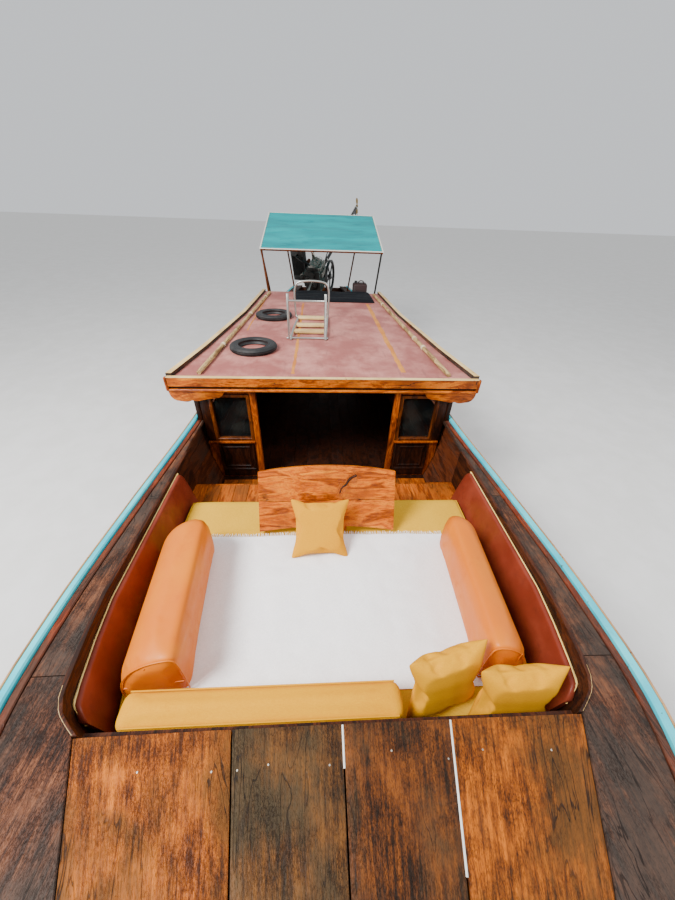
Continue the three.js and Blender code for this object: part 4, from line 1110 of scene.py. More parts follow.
def make_side_bolsters():
    high, long = BOLSTER["high"], BOLSTER["long"]
    dome, tail = 0.16, 0.03
    domed, straight = np.linspace(0, dome, 9)[1:], spaced(0.2, long - tail, 0.07)
    marks = (*domed, *straight, long - 0.012, long - 0.004, long)
    for name, side, x, y, turn, wide in BOLSTERS:
        profile = bolster_profile(wide)
        matrix = Matrix.Translation((x, side * y, BOLSTER["foot"])) @ Matrix.Rotation(-turn, 4, "Z")
        mid = wide * 0.4
        rings = []
        for along in marks:
            share = math.sqrt(max(0.02, 1 - (1 - min(along / dome, 1)) ** 2))
            share *= 1 - 0.035 * (max(0, along - long + tail) / tail) ** 2
            section = [(side * (mid + (u - mid) * share), v * (0.25 + 0.75 * share)) for u, v in profile]
            rings.append([(along - long / 2, y, z) for y, z in section])
        obj = lofts(f"bolster_{name}_cover", [rings], ORANGE)
        relax(obj, 0.011, 3, 0.008, 14)
        obj.data.transform(matrix)
        settle(obj, "orange_vinyl", (f"bolster_{name}",), 55)
        # Sewn cords round the flat end, across it and down the middle
        end = long / 2 + 0.0005
        drawn_in = [(0.012 + (u - 0.012) * 0.965, max(v * 0.965, 0.006)) for u, v in profile]
        rim = [(end - 0.006, side * u, v) for u, v in drawn_in]
        across = [(end, side * u, 0.115) for u in np.linspace(0.004, wide - 0.035, 12)]
        upright = [(end, side * 0.13, v) for v in np.linspace(0.006, high * 0.86, 12)]
        runs = (([*rim, rim[0]], 0.0032), (across, 0.0022), (upright, 0.0022))
        cords = [tube_rings(path, radius, 6) for path, radius in runs]
        piece(f"bolster_{name}_seams", cords, ORANGE, "orange_vinyl", place=matrix)


def soft_box(name, low, high, corner, finish, bulge, step):
    """Stuffed block with rounded edges whose faces swell a little."""
    middle, half = (low + high) / 2, (high - low) / 2
    obj = modify(
        lofts(name, [block(low, high)], finish),
        bevel_step(corner, 5, math.radians(30)),
        ("REMESH", {"mode": "VOXEL", "voxel_size": step}),
        ("SMOOTH", {"factor": 0.5, "iterations": 3}),
    )
    points = points_of(obj.data)
    share = (points - np.array(middle)) / np.array(half)
    for axis in range(3):
        others = [k for k in range(3) if k != axis]
        fill = np.prod([np.clip(1 - share[:, k] ** 2, 0, 1) for k in others], axis=0)
        points[:, axis] += np.sign(share[:, axis]) * np.abs(share[:, axis]) ** 3 * bulge * fill**0.5
    set_points(obj.data, points)
    return obj


def make_front_bolster():
    (x0, y0, z0), (x1, y1, z1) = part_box("bolster_front")
    pad = 0.004
    near, far = Vector((x0 + pad, y0 + pad, z0)), Vector((x1 - pad, y1 - pad, z1 - pad))
    obj = soft_box("bolster_front_cover", near, far, 0.036, YELLOW, 0.004, 0.008)
    relax(obj, 0.009, 3, 0.006, 12)
    settle(obj, "yellow_fabric", ("bolster_front",), 55)
    # Piping on the long top edges
    ys = spaced(y0 + 0.03, y1 - 0.03, 0.05)
    paths = [[(x, y, z1 - 0.012) for y in ys] for x in (x0 + 0.012, x1 - 0.012)]
    bars("bolster_front_piping", paths, 0.0035, YELLOW, "yellow_fabric", 6)


def mattress_half(x):
    return deck_inner(x) - BACKREST["inset"] - BACKREST["lean"] - BACKREST["thick"] - 0.004


def make_mattress():
    """Foam mattress in a loose khaki cover with a sewn edge."""
    (x0, _, z0), (x1, _, z1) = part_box("mattress")
    corner = MATTRESS_CORNER
    turns = np.linspace(0, math.pi / 2, 5)
    edge = [(corner * (1 - math.sin(t)), corner * (1 - math.cos(t))) for t in turns]
    near_end = (0.002, 0.01, 0.028)
    inside = spaced(x0 + 0.06, x1 - 0.06, 0.06)
    rings = []
    for x in (*(x0 + c for c in near_end), *inside, *(x1 - c for c in reversed(near_end))):
        rim = min(x - x0, x1 - x)
        inset = corner * (1 - min(1, rim / corner)) ** 2 * 0.8
        half = mattress_half(x) - inset
        top, foot = z1 - inset, z0 + inset
        right = [(half - dy, top - dz) for dy, dz in edge]
        right += [(half - dy, foot + dz) for dy, dz in reversed(edge)]
        middle = []
        for y in np.linspace(-half + corner * 2, half - corner * 2, 24):
            middle.append((y, top - 0.004 * (1 - abs(y / half)) - 0.0025 * math.sin(5 * y + 3 * x)))
        left = [(-y, z) for y, z in reversed(right)]
        rings.append([(x, y, z) for y, z in (*left, *middle, *right)])
    obj = lofts("mattress_cover", [rings], KHAKI)
    points = points_of(obj.data)
    for point in points:
        x, y = point[:2]
        crease = ripple(x * 7, y * 5, 1.7) * 0.0035 + ripple(x * 19, y * 14, 4.2) * 0.0012
        point[2] -= abs(crease) if point[2] > 0.6 else 0
    set_points(obj.data, points)
    settle(obj, "khaki_fabric", ("mattress",), 60)
    xs = spaced(x0 + 0.02, x1 - 0.02, 0.06)
    loops = []
    for z in (z1 - 0.012, z0 + 0.012):
        loop = [(x, mattress_half(x) - 0.004, z) for x in xs]
        loop += [(x, -mattress_half(x) + 0.004, z) for x in reversed(xs)]
        loops.append([*loop, loop[0]])
    bars("mattress_piping", loops, 0.004, KHAKI, "khaki_fabric", 6)


def make_blanket():
    """White cotton throw, its fringe over the far edge of the bed."""
    low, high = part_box("blanket")
    x0, x1, y0, y1 = low[0] + FRINGE, high[0], low[1], high[1]

    def spot(x, y):
        open_part = 0.35 + 2.4 * min(1, max(0, 0.66 - abs(y + 0.03)) / 0.08)
        fold, crease = ripple(x * 2.1 + 3, y * 3.4, 0.3), ripple(x * 7.5, y * 6.2, 2.2)
        sway = 0.006 * ripple(3.1, y * 4, 5.5) * (x1 - x) / (x1 - x0)
        lift = open_part * (0.006 * max(0, fold) + 0.004 * abs(crease))
        return (x + sway, y + 0.004 * ripple(x * 4, 7.7, 1.1), WELL_BED + 0.002 + lift)

    obj, edge = cloth_grid("blanket_cloth", (x0, y0), (x1, y1), (90, 120), spot, WHITE, 0.0022)
    settle(obj, "white_fabric", ("blanket",), 60)
    spots = [Vector(p) for p in edge] + [Vector(p).lerp(Vector(q), 0.5) for p, q in zip(edge, edge[1:])]
    hang = FRINGE - 0.004
    tassels = repeat(
        "blanket_fringe", "strand", spots, (-1, 0, -0.05), 0.0016, hang, WHITE, "white_fabric", 0.35, 4,
    )


def backrest_section(x, side):
    """One section across a backrest: pleated face, rolled top and flat back."""
    aft, fore, foot, top, lean, thick, inset = BACKREST.values()
    share = (x - aft) / (fore - aft)
    end = min(x - aft, fore - x)
    high = top - 0.05 * (1 - min(1, end / 0.05)) ** 2
    pleat = math.sin(2 * math.pi * share * PLEATS)
    sag = ripple(x * 5, side * 3.0, 0.7) * 0.003

    def wall(t, depth):
        return (deck_inner(x) - inset - lean * (1 - t) - depth, foot + (high - foot) * t)

    face = []
    for t in np.linspace(0.02, 0.86, 11):
        fill = math.sin(math.pi * min(1, max(0, t / 0.9))) ** 0.6
        face.append(wall(t, thick - 0.004 + 0.005 * fill * (0.55 + 0.45 * pleat) + sag * fill))
    y, z = wall(1, 0)[0] - thick / 2, high - thick / 2
    roll = [(y - dy, z + dz) for dy, dz in arc(thick / 2, 0.1, math.pi - 0.1, 9)]
    return [(x, side * y, z) for y, z in (*face, *roll, wall(0.5, 0.001), wall(0.02, 0.001))]


def make_backrests():
    """Leaning vinyl backs with upright pleats, a rolled top and a cream piping."""
    aft, fore, top, inset = (BACKREST[key] for key in ("aft", "fore", "top", "inset"))
    for name, side in SIDES:
        rings = [backrest_section(x, side) for x in spaced(aft, fore, 0.0115)]
        nodes = (f"backrest_{name}",)
        piece(f"backrest_{name}_cover", [rings], MAROON, "maroon_vinyl", nodes, 60)
        xs = spaced(aft + 0.02, fore - 0.05, 0.05)
        spots = [(x, deck_inner(x) - inset - 0.006, top - 0.007) for x in xs]
        half = deck_inner(fore) - inset
        spots += [(fore - 0.02, half - 0.008, top - 0.03), (fore - 0.004, half - 0.016, top - 0.09)]
        path = smooth_path([(x, side * y, z) for x, y, z in spots], 3)
        bars(f"backrest_{name}_piping", [path], 0.0065, PIPING, "maroon_vinyl", 8)


def make_backboard():
    """Two boards edge to edge, arched over the top, with a carved groove darkened as painted shade and
    block legs.
    """
    wide, high, thick, arch, dip = BOARD.values()
    bow = lambda y: 1 - (2 * y / wide) ** 2
    seam = lambda y: high * 0.52 + 0.004 * math.sin(7 * y) + 0.002 * math.sin(23 * y)
    upper, lower = (lambda y: high + arch * bow(y)), (lambda y: dip * bow(y))
    bodies = []
    for foot, top in ((lower, lambda y: seam(y) - 0.0016), (lambda y: seam(y) + 0.0016, upper)):
        rings = []
        for y in np.linspace(-wide / 2, wide / 2, 33):
            heights = np.linspace(foot(y), top(y), 5)
            rings.append([(0.0, y, z) for z in heights] + [(-thick, y, z) for z in reversed(heights)])
        bodies.append(rings)
    obj = lofts("backboard_planks", bodies, VARNISHED_ACROSS)
    groove = smooth_path([(0.004, y, z) for y, z in BOARD_GROOVE], 6)
    tool = lofts("groove_tool", [tube_rings(groove, lambda s: 0.011 - 0.004 * s)], DARK_WOOD)
    cut = {"operation": "DIFFERENCE", "object": tool, "solver": "EXACT"}
    modify(obj, ("BOOLEAN", cut), bevel_step(0.0035, 2, math.radians(40)))
    bpy.data.objects.remove(tool)
    obj.data.transform(BOARD_FRAME)
    settle(obj, "varnished_wood", ("backboard",), 35)
    # Painted shade: a dark bar laid in the carved groove.
    path = [(0.0005 - 0.0045, p.y, p.z) for p in groove]
    depth = lambda s: 0.0088 - 0.0035 * s
    bars("backboard_groove_shade", [path], depth, DARK_WOOD, "varnished_wood", 8, place=BOARD_FRAME)
    back, face = -thick - 0.028, -thick - 0.0005
    legs = [block((back, y - 0.03, -0.012), (face, y + 0.03, 0.3)) for y in (-0.11, 0.11)]
    piece(
        "backboard_legs", legs, VARNISHED_ACROSS, "varnished_wood", rounding=(0.004,), place=BOARD_FRAME,
    )


# Boards and mouldings


def paint(obj, finish, chosen):
    """Gives a second finish to the faces whose centres are chosen."""
    obj.data.materials.append(finish)
    number = len(obj.data.materials) - 1
    for face in obj.data.polygons:
        if chosen(face.center):
            face.material_index = number


def boards(name, x0, x1, half, top, thick, width, finish, slot, shift=0.0):
    """Floor boards that run fore and aft, trimmed to the sides of the hull."""
    gap, ease = 0.003, 0.0025
    reach = max(half(x) for x in (x0, (x0 + x1) / 2, x1))
    bodies = []
    y = -reach + shift
    while y < reach:
        rings = []
        for x in spaced(x0, x1, 0.25):
            a, b = max(y, -half(x)), min(y + width - gap, half(x))
            if b - a > 0.012:
                near = [(a, top - thick), (a, top - ease), (a + ease, top)]
                far = [(b - ease, top), (b, top - ease), (b, top - thick)]
                rings.append([(x, v, z) for v, z in (*near, *far)])
        if len(rings) > 1:
            bodies.append(rings)
        y += width
    return piece(name, bodies, finish, slot, (), 30)


def frame_rings(corners, profile, facing):
    """Mitred moulding round a flat loop. profile holds (inset from the loop, height off the face)."""
    corners = [Vector(c) for c in corners]
    facing = Vector(facing)
    count = len(corners)
    rings = []
    for i, corner in enumerate(corners):
        ahead = (corners[(i + 1) % count] - corner).normalized()
        behind = (corners[i - 1] - corner).normalized()
        inward = ahead + behind
        inward = inward / max(0.2, inward.cross(ahead).length)
        rings.append([corner + inward * inset + facing * height for inset, height in profile])
    return rings


def mouldings(name, loops, profile, facing, finish, slot):
    """One piece of several closed mouldings."""
    bodies = [frame_rings(corners, profile, facing) for corners in loops]
    return settle(closed_lofts(name, bodies, finish), slot, (), 25)


# Sections of mouldings. Columns: inset from the loop, height off the face.
OVOLO = (
    (0, -0.001), (0, 0.006), (0.003, 0.009), (0.009, 0.009), (0.013, 0.005), (0.02, 0.004), (0.022, -0.001),
)
REBATE = ((0, 0), (0, 0.012), (0.006, 0.014), (0.024, 0.014), (0.028, 0.01), (0.028, -0.03), (0.024, -0.03))
WINDOW_BEAD = ((0, 0), (0, 0.008), (0.004, 0.011), (0.02, 0.011), (0.024, 0.007), (0.024, 0))
# Hull and deck nodes that are only bevelled. Columns: node, finish, slot, edge.
PLAIN_NODES = (
    ("bottom_planking", HULL_PAINT, "hull_paint", 0.004), ("transom", HULL_PAINT, "hull_paint", 0.006),
    ("keel_and_prow", HULL_PAINT, "hull_paint", 0.008), ("bow_deck", DECK_WOOD, "deck_wood", 0.004),
    ("foredeck_frame", DARK_WOOD, "dark_wood", 0.003),
)
# Floors. Columns: node, top, aft x, fore x, board width, shift of the first board, finish of the bearers.
FLOORS = (
    ("cockpit_floor", 0.124, -3.868, 2.19, 0.142, 0.0, DARK_WOOD),
    ("well_platform", 0.498, 0.424, 2.19, 0.118, 0.02, FLOOR_WOOD),
    ("stern_floor", 0.274, -5.93, -3.88, 0.134, 0.01, FLOOR_WOOD),
)


def make_hull_rest():
    for row in PLAIN_NODES:
        dress(*row)
    for node, level, x0, x1, width, shift, bearers in FLOORS:
        low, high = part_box(node)
        lower_top_at(dress(node, bearers, "floor_wood", 0.002), level, 0.005)
        laid = boards(
            f"{node}_boards", max(x0, low[0] + 0.002), min(x1, high[0] - 0.002),
            side_reader(node, level), level, 0.009, width, FLOOR_WOOD, "floor_wood", shift,
        )
        if node == "cockpit_floor":
            # Painted shade: the boards under the cabin roof are given near-black wood.
            paint(laid, SHADE_WOOD, lambda p: p.x < CABIN_FORE)


def lower_top_at(obj, level, drop):
    for vertex in obj.data.vertices:
        if abs(vertex.co.z - level) < 0.0035:
            vertex.co.z -= drop


def side_reader(node, level):
    """Half width of a floor's upper face, read along its length."""
    widest = {}
    for vertex in NODES[node].data.vertices:
        x, y, z = vertex.co
        if abs(z - level) < 0.001 and abs(y) > 0.2:
            widest[round(x, 3)] = max(widest.get(round(x, 3), 0), round(abs(y), 4))
    rows = [(x, widest[x] - 0.002) for x in sorted(widest)]
    return lambda x: read_table(rows, x)


# Cabin

CABIN_FORE, CABIN_AFT = -0.13, -3.85
# Side windows. Columns: aft x, fore x.
WINDOWS = ((-1.2, -0.33), (-2.35, -1.48), (-3.5, -2.63))
SILL, LINTEL = 0.88, 1.092
PANE_THICK = 0.004
HEADER_FOOT = 1.1465
BRIDGE_TOP = 0.762
# Cabin front on one side: inner and outer distance from the middle, foot and top
FRONT = {
    "board": (0.703, 1.058, 0.14, 0.571),
    "panel": (0.715, 1.06, 0.225, 0.565),
    "field": (0.76, 1.015, 0.27, 0.52),
    "sash": (0.699, 1.068, 0.594, 1.0945),
    "pane": (0.706, 1.061, 0.6, 1.088),
    "jamb": (0.641, 0.692, 0.125, 1.142),
    "sill": (0.694, 1.14, 0.572, 0.592),
    "stile": (1.07, 1.147, 0.594, 1.142),
}
ROOF_FORE, ROOF_AFT = -0.105, -3.9
ROOF_HEIGHTS = ((ROOF_AFT, 1.185), (ROOF_FORE, 1.265))
# Half width of the roof. Columns: x, half width.
ROOF_EDGE = ((-3.9, 1.05), (-2.3, 1.118), (-0.85, 1.265), (-0.105, 1.372))
TOE_RAIL_WIDTH = 0.05


def roof_top(x):
    (aft, low), (fore, high) = ROOF_HEIGHTS
    return low + (high - low) * (x - aft) / (fore - aft)


def roof_edge(x):
    return read_table(ROOF_EDGE, x)


def front_ring(x, side, part):
    y0, y1, z0, z1 = FRONT[part]
    return box_ring(x, side * y0, side * y1, z0, z1)


def make_cabin():
    x = CABIN_FORE + 0.0002
    proud = x + 0.0052
    for name, side in SIDES:
        wall = dress(f"bulkhead_{name}", VARNISHED_UPRIGHT, "varnished_wood", 0.002)
        # Painted shade: the bulkhead below the sill, outboard of the jamb, is given dark wood.
        paint(wall, DARK_WOOD, lambda p: p.z < 0.585 and abs(p.y) > 0.69)
        # Moulded panel under the window, in near-black wood as painted shade, and the frame of its pane
        part = lambda key, depth, start=x: side_block(side, start, x + depth, FRONT[key])
        piece(f"front_board_{name}", [part("board", 0.005)], SHADE_WOOD, "dark_wood")
        fields = [front_ring(proud, side, key) for key in ("panel", "field")]
        mouldings(f"front_panel_{name}", fields, OVOLO, (1, 0, 0), SHADE_WOOD, "dark_wood")
        sash = [front_ring(x, side, "sash")]
        mouldings(f"front_sash_{name}", sash, REBATE, (1, 0, 0), FRAME_WOOD, "varnished_wood")
        piece(f"front_pane_{name}", [part("pane", -0.016, x - 0.02)], GLASS, "varnished_wood")
        # Outer stile in near-black wood as painted shade, door jamb and sill
        stile = [part("stile", 0.012)]
        piece(f"front_stile_{name}", stile, SHADE_WOOD, "dark_wood", rounding=(0.003,))
        trim = [part("jamb", 0.014), part("sill", 0.03)]
        piece(f"front_jamb_{name}", trim, VARNISHED_UPRIGHT, "varnished_wood", rounding=(0.004, 2, 0.6))
        make_cabin_side(name, side)
    portal = dress("cabin_portal", VARNISHED_ACROSS, "varnished_wood", 0.005)
    # Painted shade: the portal's posts below the header are given near-black wood.
    paint(portal, SHADE_WOOD, lambda p: p.z < HEADER_FOOT - 0.003)
    lower_top_at(dress("bridge_deck", DARK_WOOD, "dark_wood"), BRIDGE_TOP, 0.004)
    reach = side_reader("bridge_deck", BRIDGE_TOP)
    boards("bridge_boards", -4.288, -3.877, reach, BRIDGE_TOP, 0.008, 0.126, DARK_WOOD, "dark_wood")


def make_cabin_side(name, side):
    """Side wall with mouldings round its windows, glass slid half open and a strip along the deck."""
    wall = dress(f"cabin_side_{name}", VARNISHED, "varnished_wood", 0.002)
    # Painted shade: the wall's inner faces, inside the cabin, are given near-black wood.
    paint(wall, SHADE_WOOD, lambda p: abs(p.y) < deck_inner(p.x) - 0.02)
    face = lambda x: side * (deck_inner(x) + 0.0004)
    foot, head = SILL + 0.001, LINTEL - 0.001
    depth = side * 0.014
    loops, panes, stiles = [], [], []
    for aft, fore in WINDOWS:
        x0, x1, z0, z1 = aft - 0.022, fore + 0.022, SILL - 0.022, LINTEL + 0.016
        loops.append([(x, face(x), z) for x, z in ((x0, z0), (x1, z0), (x1, z1), (x0, z1))])
        meeting = (aft + fore) / 2 + 0.03
        pane = []
        for x in (aft + 0.002, meeting):
            y = face(x) - depth
            pane.append([(x, y, foot), (x, y, head), (x, y + PANE_THICK, head), (x, y + PANE_THICK, foot)])
        panes.append(pane)
        y0, y1 = face(meeting) - depth - side * 0.008, face(meeting) - depth + side * 0.012
        x0, x1 = meeting, meeting + 0.022
        stiles.append([[(x0, y0, z), (x0, y1, z), (x1, y1, z), (x1, y0, z)] for z in (foot, head)])
    mouldings(
        f"window_mouldings_{name}", loops, WINDOW_BEAD, (0, side, 0), VARNISHED_UPRIGHT, "varnished_wood",
    )
    piece(f"side_panes_{name}", panes, GLASS, "varnished_wood")
    piece(f"sash_stiles_{name}", stiles, VARNISHED_UPRIGHT, "varnished_wood")
    # Cover strip along the deck. Columns: distance from the wall, height above the deck.
    section = ((0, 0), (0.012, 0), (0.016, 0.02), (0.006, 0.032), (0, 0.032))
    strip = []
    for x in spaced(CABIN_AFT + 0.01, -0.175, 0.4):
        rise = deck_top(x, deck_inner(x)) + 0.002
        strip.append([(x, face(x) + side * out, rise + up) for out, up in section])
    piece(f"side_cover_strip_{name}", [strip], VARNISHED, "varnished_wood")


# Roof and what it carries

# Sealed laps of the roof covering. Columns: y, aft x, fore x, half width.
LAPS = ((-0.3, -3.0, -0.2, 0.016), (0.715, -3.05, -0.26, 0.026), (-0.92, -3.7, -1.5, 0.01))
LADDER_TREADS = (-1.42, -1.69, -2.04)
FASCIA = {"aft": -0.1047, "face": -0.0707, "half": 1.388, "foot": 1.143, "top": 1.28}
FASCIA_END = 0.026
# Layers of the fascia. Columns: name, finish, slot, foot, top, depth behind its face, rounding, nodes.
FASCIA_LAYERS = (
    ("board", VARNISHED_ACROSS, "varnished_wood", 1.192, 1.2705, 0.003, 0.002, ("fascia",)),
    ("cap", CREAM, "varnished_wood", 1.2715, FASCIA["top"], 0, 0.003, ()),
    ("foot", VARNISHED_ACROSS, "varnished_wood", FASCIA["foot"], 1.166, 0, 0.006, ()),
    # The groove layer is near-black wood as painted shade in its recess.
    ("groove", SHADE_WOOD, "dark_wood", 1.1655, 1.1925, 0.024, 0.001, ()),
)
# Outline of a scroll bracket under the fascia: y, z
SCROLL = (
    (1.378, 1.15), (1.366, 1.092), (1.335, 1.057), (1.285, 1.045), (1.235, 1.039), (1.19, 1.051),
    (1.15, 1.047), (1.1, 1.057), (1.04, 1.069), (0.98, 1.076), (0.93, 1.094), (0.89, 1.15),
)
FASCIA_NAILS = (-1.3, -0.9, -0.45, 0.02, 0.5, 0.93, 1.31)
POLE_AFT, POLE_LONG = -3.7, 3.54
POLE_HALF = (0.9, 1.108)
POLE_UP = 0.0223
# Lashings round the roof poles. Columns: side, x.
LASHINGS = ((1, -0.905), (1, -1.23), (1, -2.94), (-1, -0.9), (-1, -2.2), (-1, -3.3))
LASHING_TURNS = 7
# Fender tyres. Columns: number, x, y.
TYRES = ((1, -0.835, -0.74), (2, -2.13, -0.665))


def make_roof():
    roof = dress("roof", ROOFING, "roof_sheet", 0.004)
    paint(roof, SIDE_WOOD, lambda p: abs(p.y) > roof_edge(p.x) - 0.056 and p.z > roof_top(p.x) + 0.001)
    paint(roof, VARNISHED, lambda p: p.z < roof_top(p.x) - 0.037)
    paint(roof, CREAM, lambda p: abs(p.y) > roof_edge(p.x) - 0.006)
    # Covering laid on the boards between the toe rails
    sheet = []
    for x in spaced(ROOF_AFT + 0.002, ROOF_FORE - 0.002, 0.06):
        half, z = roof_edge(x) - TOE_RAIL_WIDTH - 0.004, roof_top(x)
        lift = lambda y: 0.0022 + 0.0009 * ripple(x * 2.3, y * 2.9, 0.5)
        top = [(x, y, z + lift(y)) for y in np.linspace(-half, half, 40)]
        sheet.append([*top, (x, half, z - 0.002), (x, -half, z - 0.002)])
    piece("roof_covering_sheet", [sheet], ROOFING, "roof_sheet")
    laps = []
    for y, aft, fore, half in LAPS:
        rings = []
        for x in spaced(aft, fore, 0.03):
            middle = y + 0.006 * ripple(x * 4, y * 9, 0.2)
            wide = half * (1 + 0.35 * ripple(x * 11, y * 5, 2.6))
            z = roof_top(x) + 0.0025
            section = ((-wide, -0.001), (-wide * 0.8, 0.0016), (wide * 0.8, 0.0016), (wide, -0.001))
            rings.append([(x, middle + across, z + up) for across, up in section])
        laps.append(rings)
    piece("roof_laps", laps, OCHRE, "roof_sheet")
    make_folded_curtains()
    make_fascia()
    make_poles()
    make_tyres()
    dress("ladder", STEEL, "ladder_steel", 0.001, 1, 50)
    treads = []
    for i, x in enumerate(LADDER_TREADS):
        shift, rest = 0.012 + 0.013 * i, roof_top(x) + 0.0133
        low = (x - 0.0462, -0.378 + shift - 0.001, rest + 0.0008)
        treads.append(block(low, (x + 0.0462, 0.012 + shift + 0.001, rest + 0.0292)))
    piece("ladder_treads", treads, CREAM, "ladder_steel", rounding=(0.005, 3))


def make_folded_curtains():
    """Side curtains of the stern, folded flat across the roof's aft end."""
    x0, x1, y0, y1, thick = -3.84, -3.12, -0.47, 0.84, 0.05
    rings = []
    for x in spaced(x0, x1, 0.03):
        high = thick * min(1, 0.35 + (min(x - x0, x1 - x) / 0.06) ** 0.6)
        foot = roof_top(x) + 0.0035
        row = []
        for y in (float(v) for v in np.linspace(y0, y1, 60)):
            side_rim = min(1, 0.3 + (min(y - y0, y1 - y) / 0.05) ** 0.6)
            fold = 1 + 0.3 * ripple(x * 9, y * 3.5, 1.4) + 0.12 * ripple(x * 30, y * 12, 5)
            row.append((x + 0.012 * ripple(y * 5, 1.2, 3), y, foot + high * side_rim * fold * 0.8))
        rings.append([*row, (x, y1, foot), (x, y0, foot)])
    piece("folded_side_curtains", [rings], CANVAS, "tyre_rubber", (), 60)


def make_fascia():
    """Layered board over the cabin front: cream cap, plain board, groove darkened as painted shade, moulded
    foot and end blocks.
    """
    aft, face, half = FASCIA["aft"], FASCIA["face"], FASCIA["half"]
    ys = spaced(-half + FASCIA_END, half - FASCIA_END, 0.09)
    for name, finish, slot, foot, top, depth, nose, nodes in FASCIA_LAYERS:
        front = face - depth
        lower = [(aft, foot), (front - nose, foot), (front, foot + nose)]
        upper = [(front, top - nose), (front - nose, top), (aft, top)]
        layer = [[(x, y, z) for x, z in (*lower, *upper)] for y in ys]
        piece(f"fascia_{name}", [layer], finish, slot, nodes, 25)
    span = (half - FASCIA_END, half, FASCIA["foot"] + 0.004, FASCIA["top"] - 0.004)
    ends = [side_block(side, aft, face, span) for side in (1, -1)]
    piece("fascia_ends", ends, VARNISHED_UPRIGHT, "varnished_wood", rounding=(0.01, 4))
    outline = smooth_path([(0, y, z) for y, z in SCROLL], 5)
    brackets = [
        [[(x, side * p.y, p.z) for p in outline] for x in (aft + 0.0005, aft + 0.0215)] for side in (1, -1)
    ]
    piece("fascia_brackets", brackets, VARNISHED_ACROSS, "varnished_wood", rounding=(0.003, 2, 1.0))
    spots = [(face - 0.001, y, 1.232) for y in FASCIA_NAILS]
    repeat("fascia_nails", "head", spots, (1, 0, 0), 0.004, 0.003, DARK_STEEL, "dark_steel")


def pole_half(x):
    aft, fore = POLE_HALF
    return aft + (fore - aft) * (x - POLE_AFT) / POLE_LONG


def make_poles():
    girth = lambda s: 0.0212 + 0.0008 * math.sin(s * 37) if 0.002 < s < 0.998 else 0.019
    for name, side in SIDES:
        path = []
        for x in spaced(POLE_AFT, POLE_AFT + POLE_LONG, 0.09):
            sway = 0.002 * ripple(x * 1.7, side * 2.0, 0.4)
            path.append((x, side * pole_half(x) + sway, roof_top(x) + POLE_UP + sway * 0.5))
        nodes = (f"roof_pole_{name}",)
        bars(f"roof_pole_bar_{name}", [path], girth, POLE_WOOD, "pole_wood", 14, nodes=nodes, crease=40)
    spots, ways = [], []
    for side, x in LASHINGS:
        way = Vector((1, side * (POLE_HALF[1] - POLE_HALF[0]) / POLE_LONG, 0.021)).normalized()
        for turn in range(LASHING_TURNS):
            at = x + (turn - LASHING_TURNS // 2) * 0.0062
            spots.append((at, side * pole_half(at), roof_top(at) + POLE_UP))
            ways.append(way)
    repeat("pole_lashings", "ring", spots, ways, 0.0228, 0.0031, ROPE, "pole_wood", 0.05, 3)


def tyre_rings(turns=108):
    """Worn cross-ply tyre with rounded shoulders, beads, ribs on its walls and a grooved tread."""
    outer, inner, half = 0.24, 0.148, 0.034
    upper = [
        (inner + 0.002, half - 0.012), (inner + 0.006, half - 0.004), (inner + 0.014, half - 0.002),
        (inner + 0.02, half - 0.006), (inner + 0.03, half - 0.003), (inner + 0.045, half),
        (inner + 0.05, half - 0.002), (inner + 0.058, half - 0.0005), (outer - 0.022, half - 0.002),
        (outer - 0.012, half - 0.008), (outer - 0.004, half - 0.017), (outer - 0.001, half - 0.019),
        (outer - 0.001, 0.012), (outer - 0.007, 0.01), (outer - 0.007, 0.007), (outer, 0.005),
    ]
    lining = [(inner + 0.006, -half + 0.016), (inner + 0.012, 0.0), (inner + 0.006, half - 0.016)]
    profile = [*upper, *((r, -h) for r, h in reversed(upper)), *lining]
    rings = []
    for i in range(turns):
        angle = 2 * math.pi * i / turns
        ring = []
        for r, h in profile:
            lug = math.sin(angle * 54 + (3 if h > 0 else -3) * abs(h) * 30)
            cut = 0.005 if r > outer - 0.006 and abs(h) > 0.013 and lug > 0.35 else 0
            ring.append(((r - cut) * math.cos(angle), (r - cut) * math.sin(angle), h))
        rings.append(ring)
    return rings


def make_tyres():
    lean = Matrix.Rotation(-math.atan2(0.08, 3.795), 4, "Y")
    for number, x, y in TYRES:
        obj = closed_lofts(f"tyre_{number}_carcass", [tyre_rings()], RUBBER)
        obj.data.transform(Matrix.Translation((x, y, roof_top(x) + 0.0346)) @ lean)
        settle(obj, "tyre_rubber", (f"tyre_{number}",), 30)


# Stern and canopy

CANOPY = {"fore": -3.96, "aft": -5.66, "half": 1.05, "fore_top": 1.836, "aft_top": 2.29}
HEM_WIDTH = 0.016
EYELET_IN, LACE_IN = 0.03, 0.012
# Carrying handle of the fuel can. Columns: y from the middle, height above the shoulder.
HANDLE = ((-0.03, 0.006), (-0.02, 0.037), (0.02, 0.05), (0.06, 0.037), (0.07, 0.006))
CAN_CORNER = 0.03


def canopy_z(x):
    share = (x - CANOPY["aft"]) / (CANOPY["fore"] - CANOPY["aft"])
    return CANOPY["aft_top"] + (CANOPY["fore_top"] - CANOPY["aft_top"]) * share


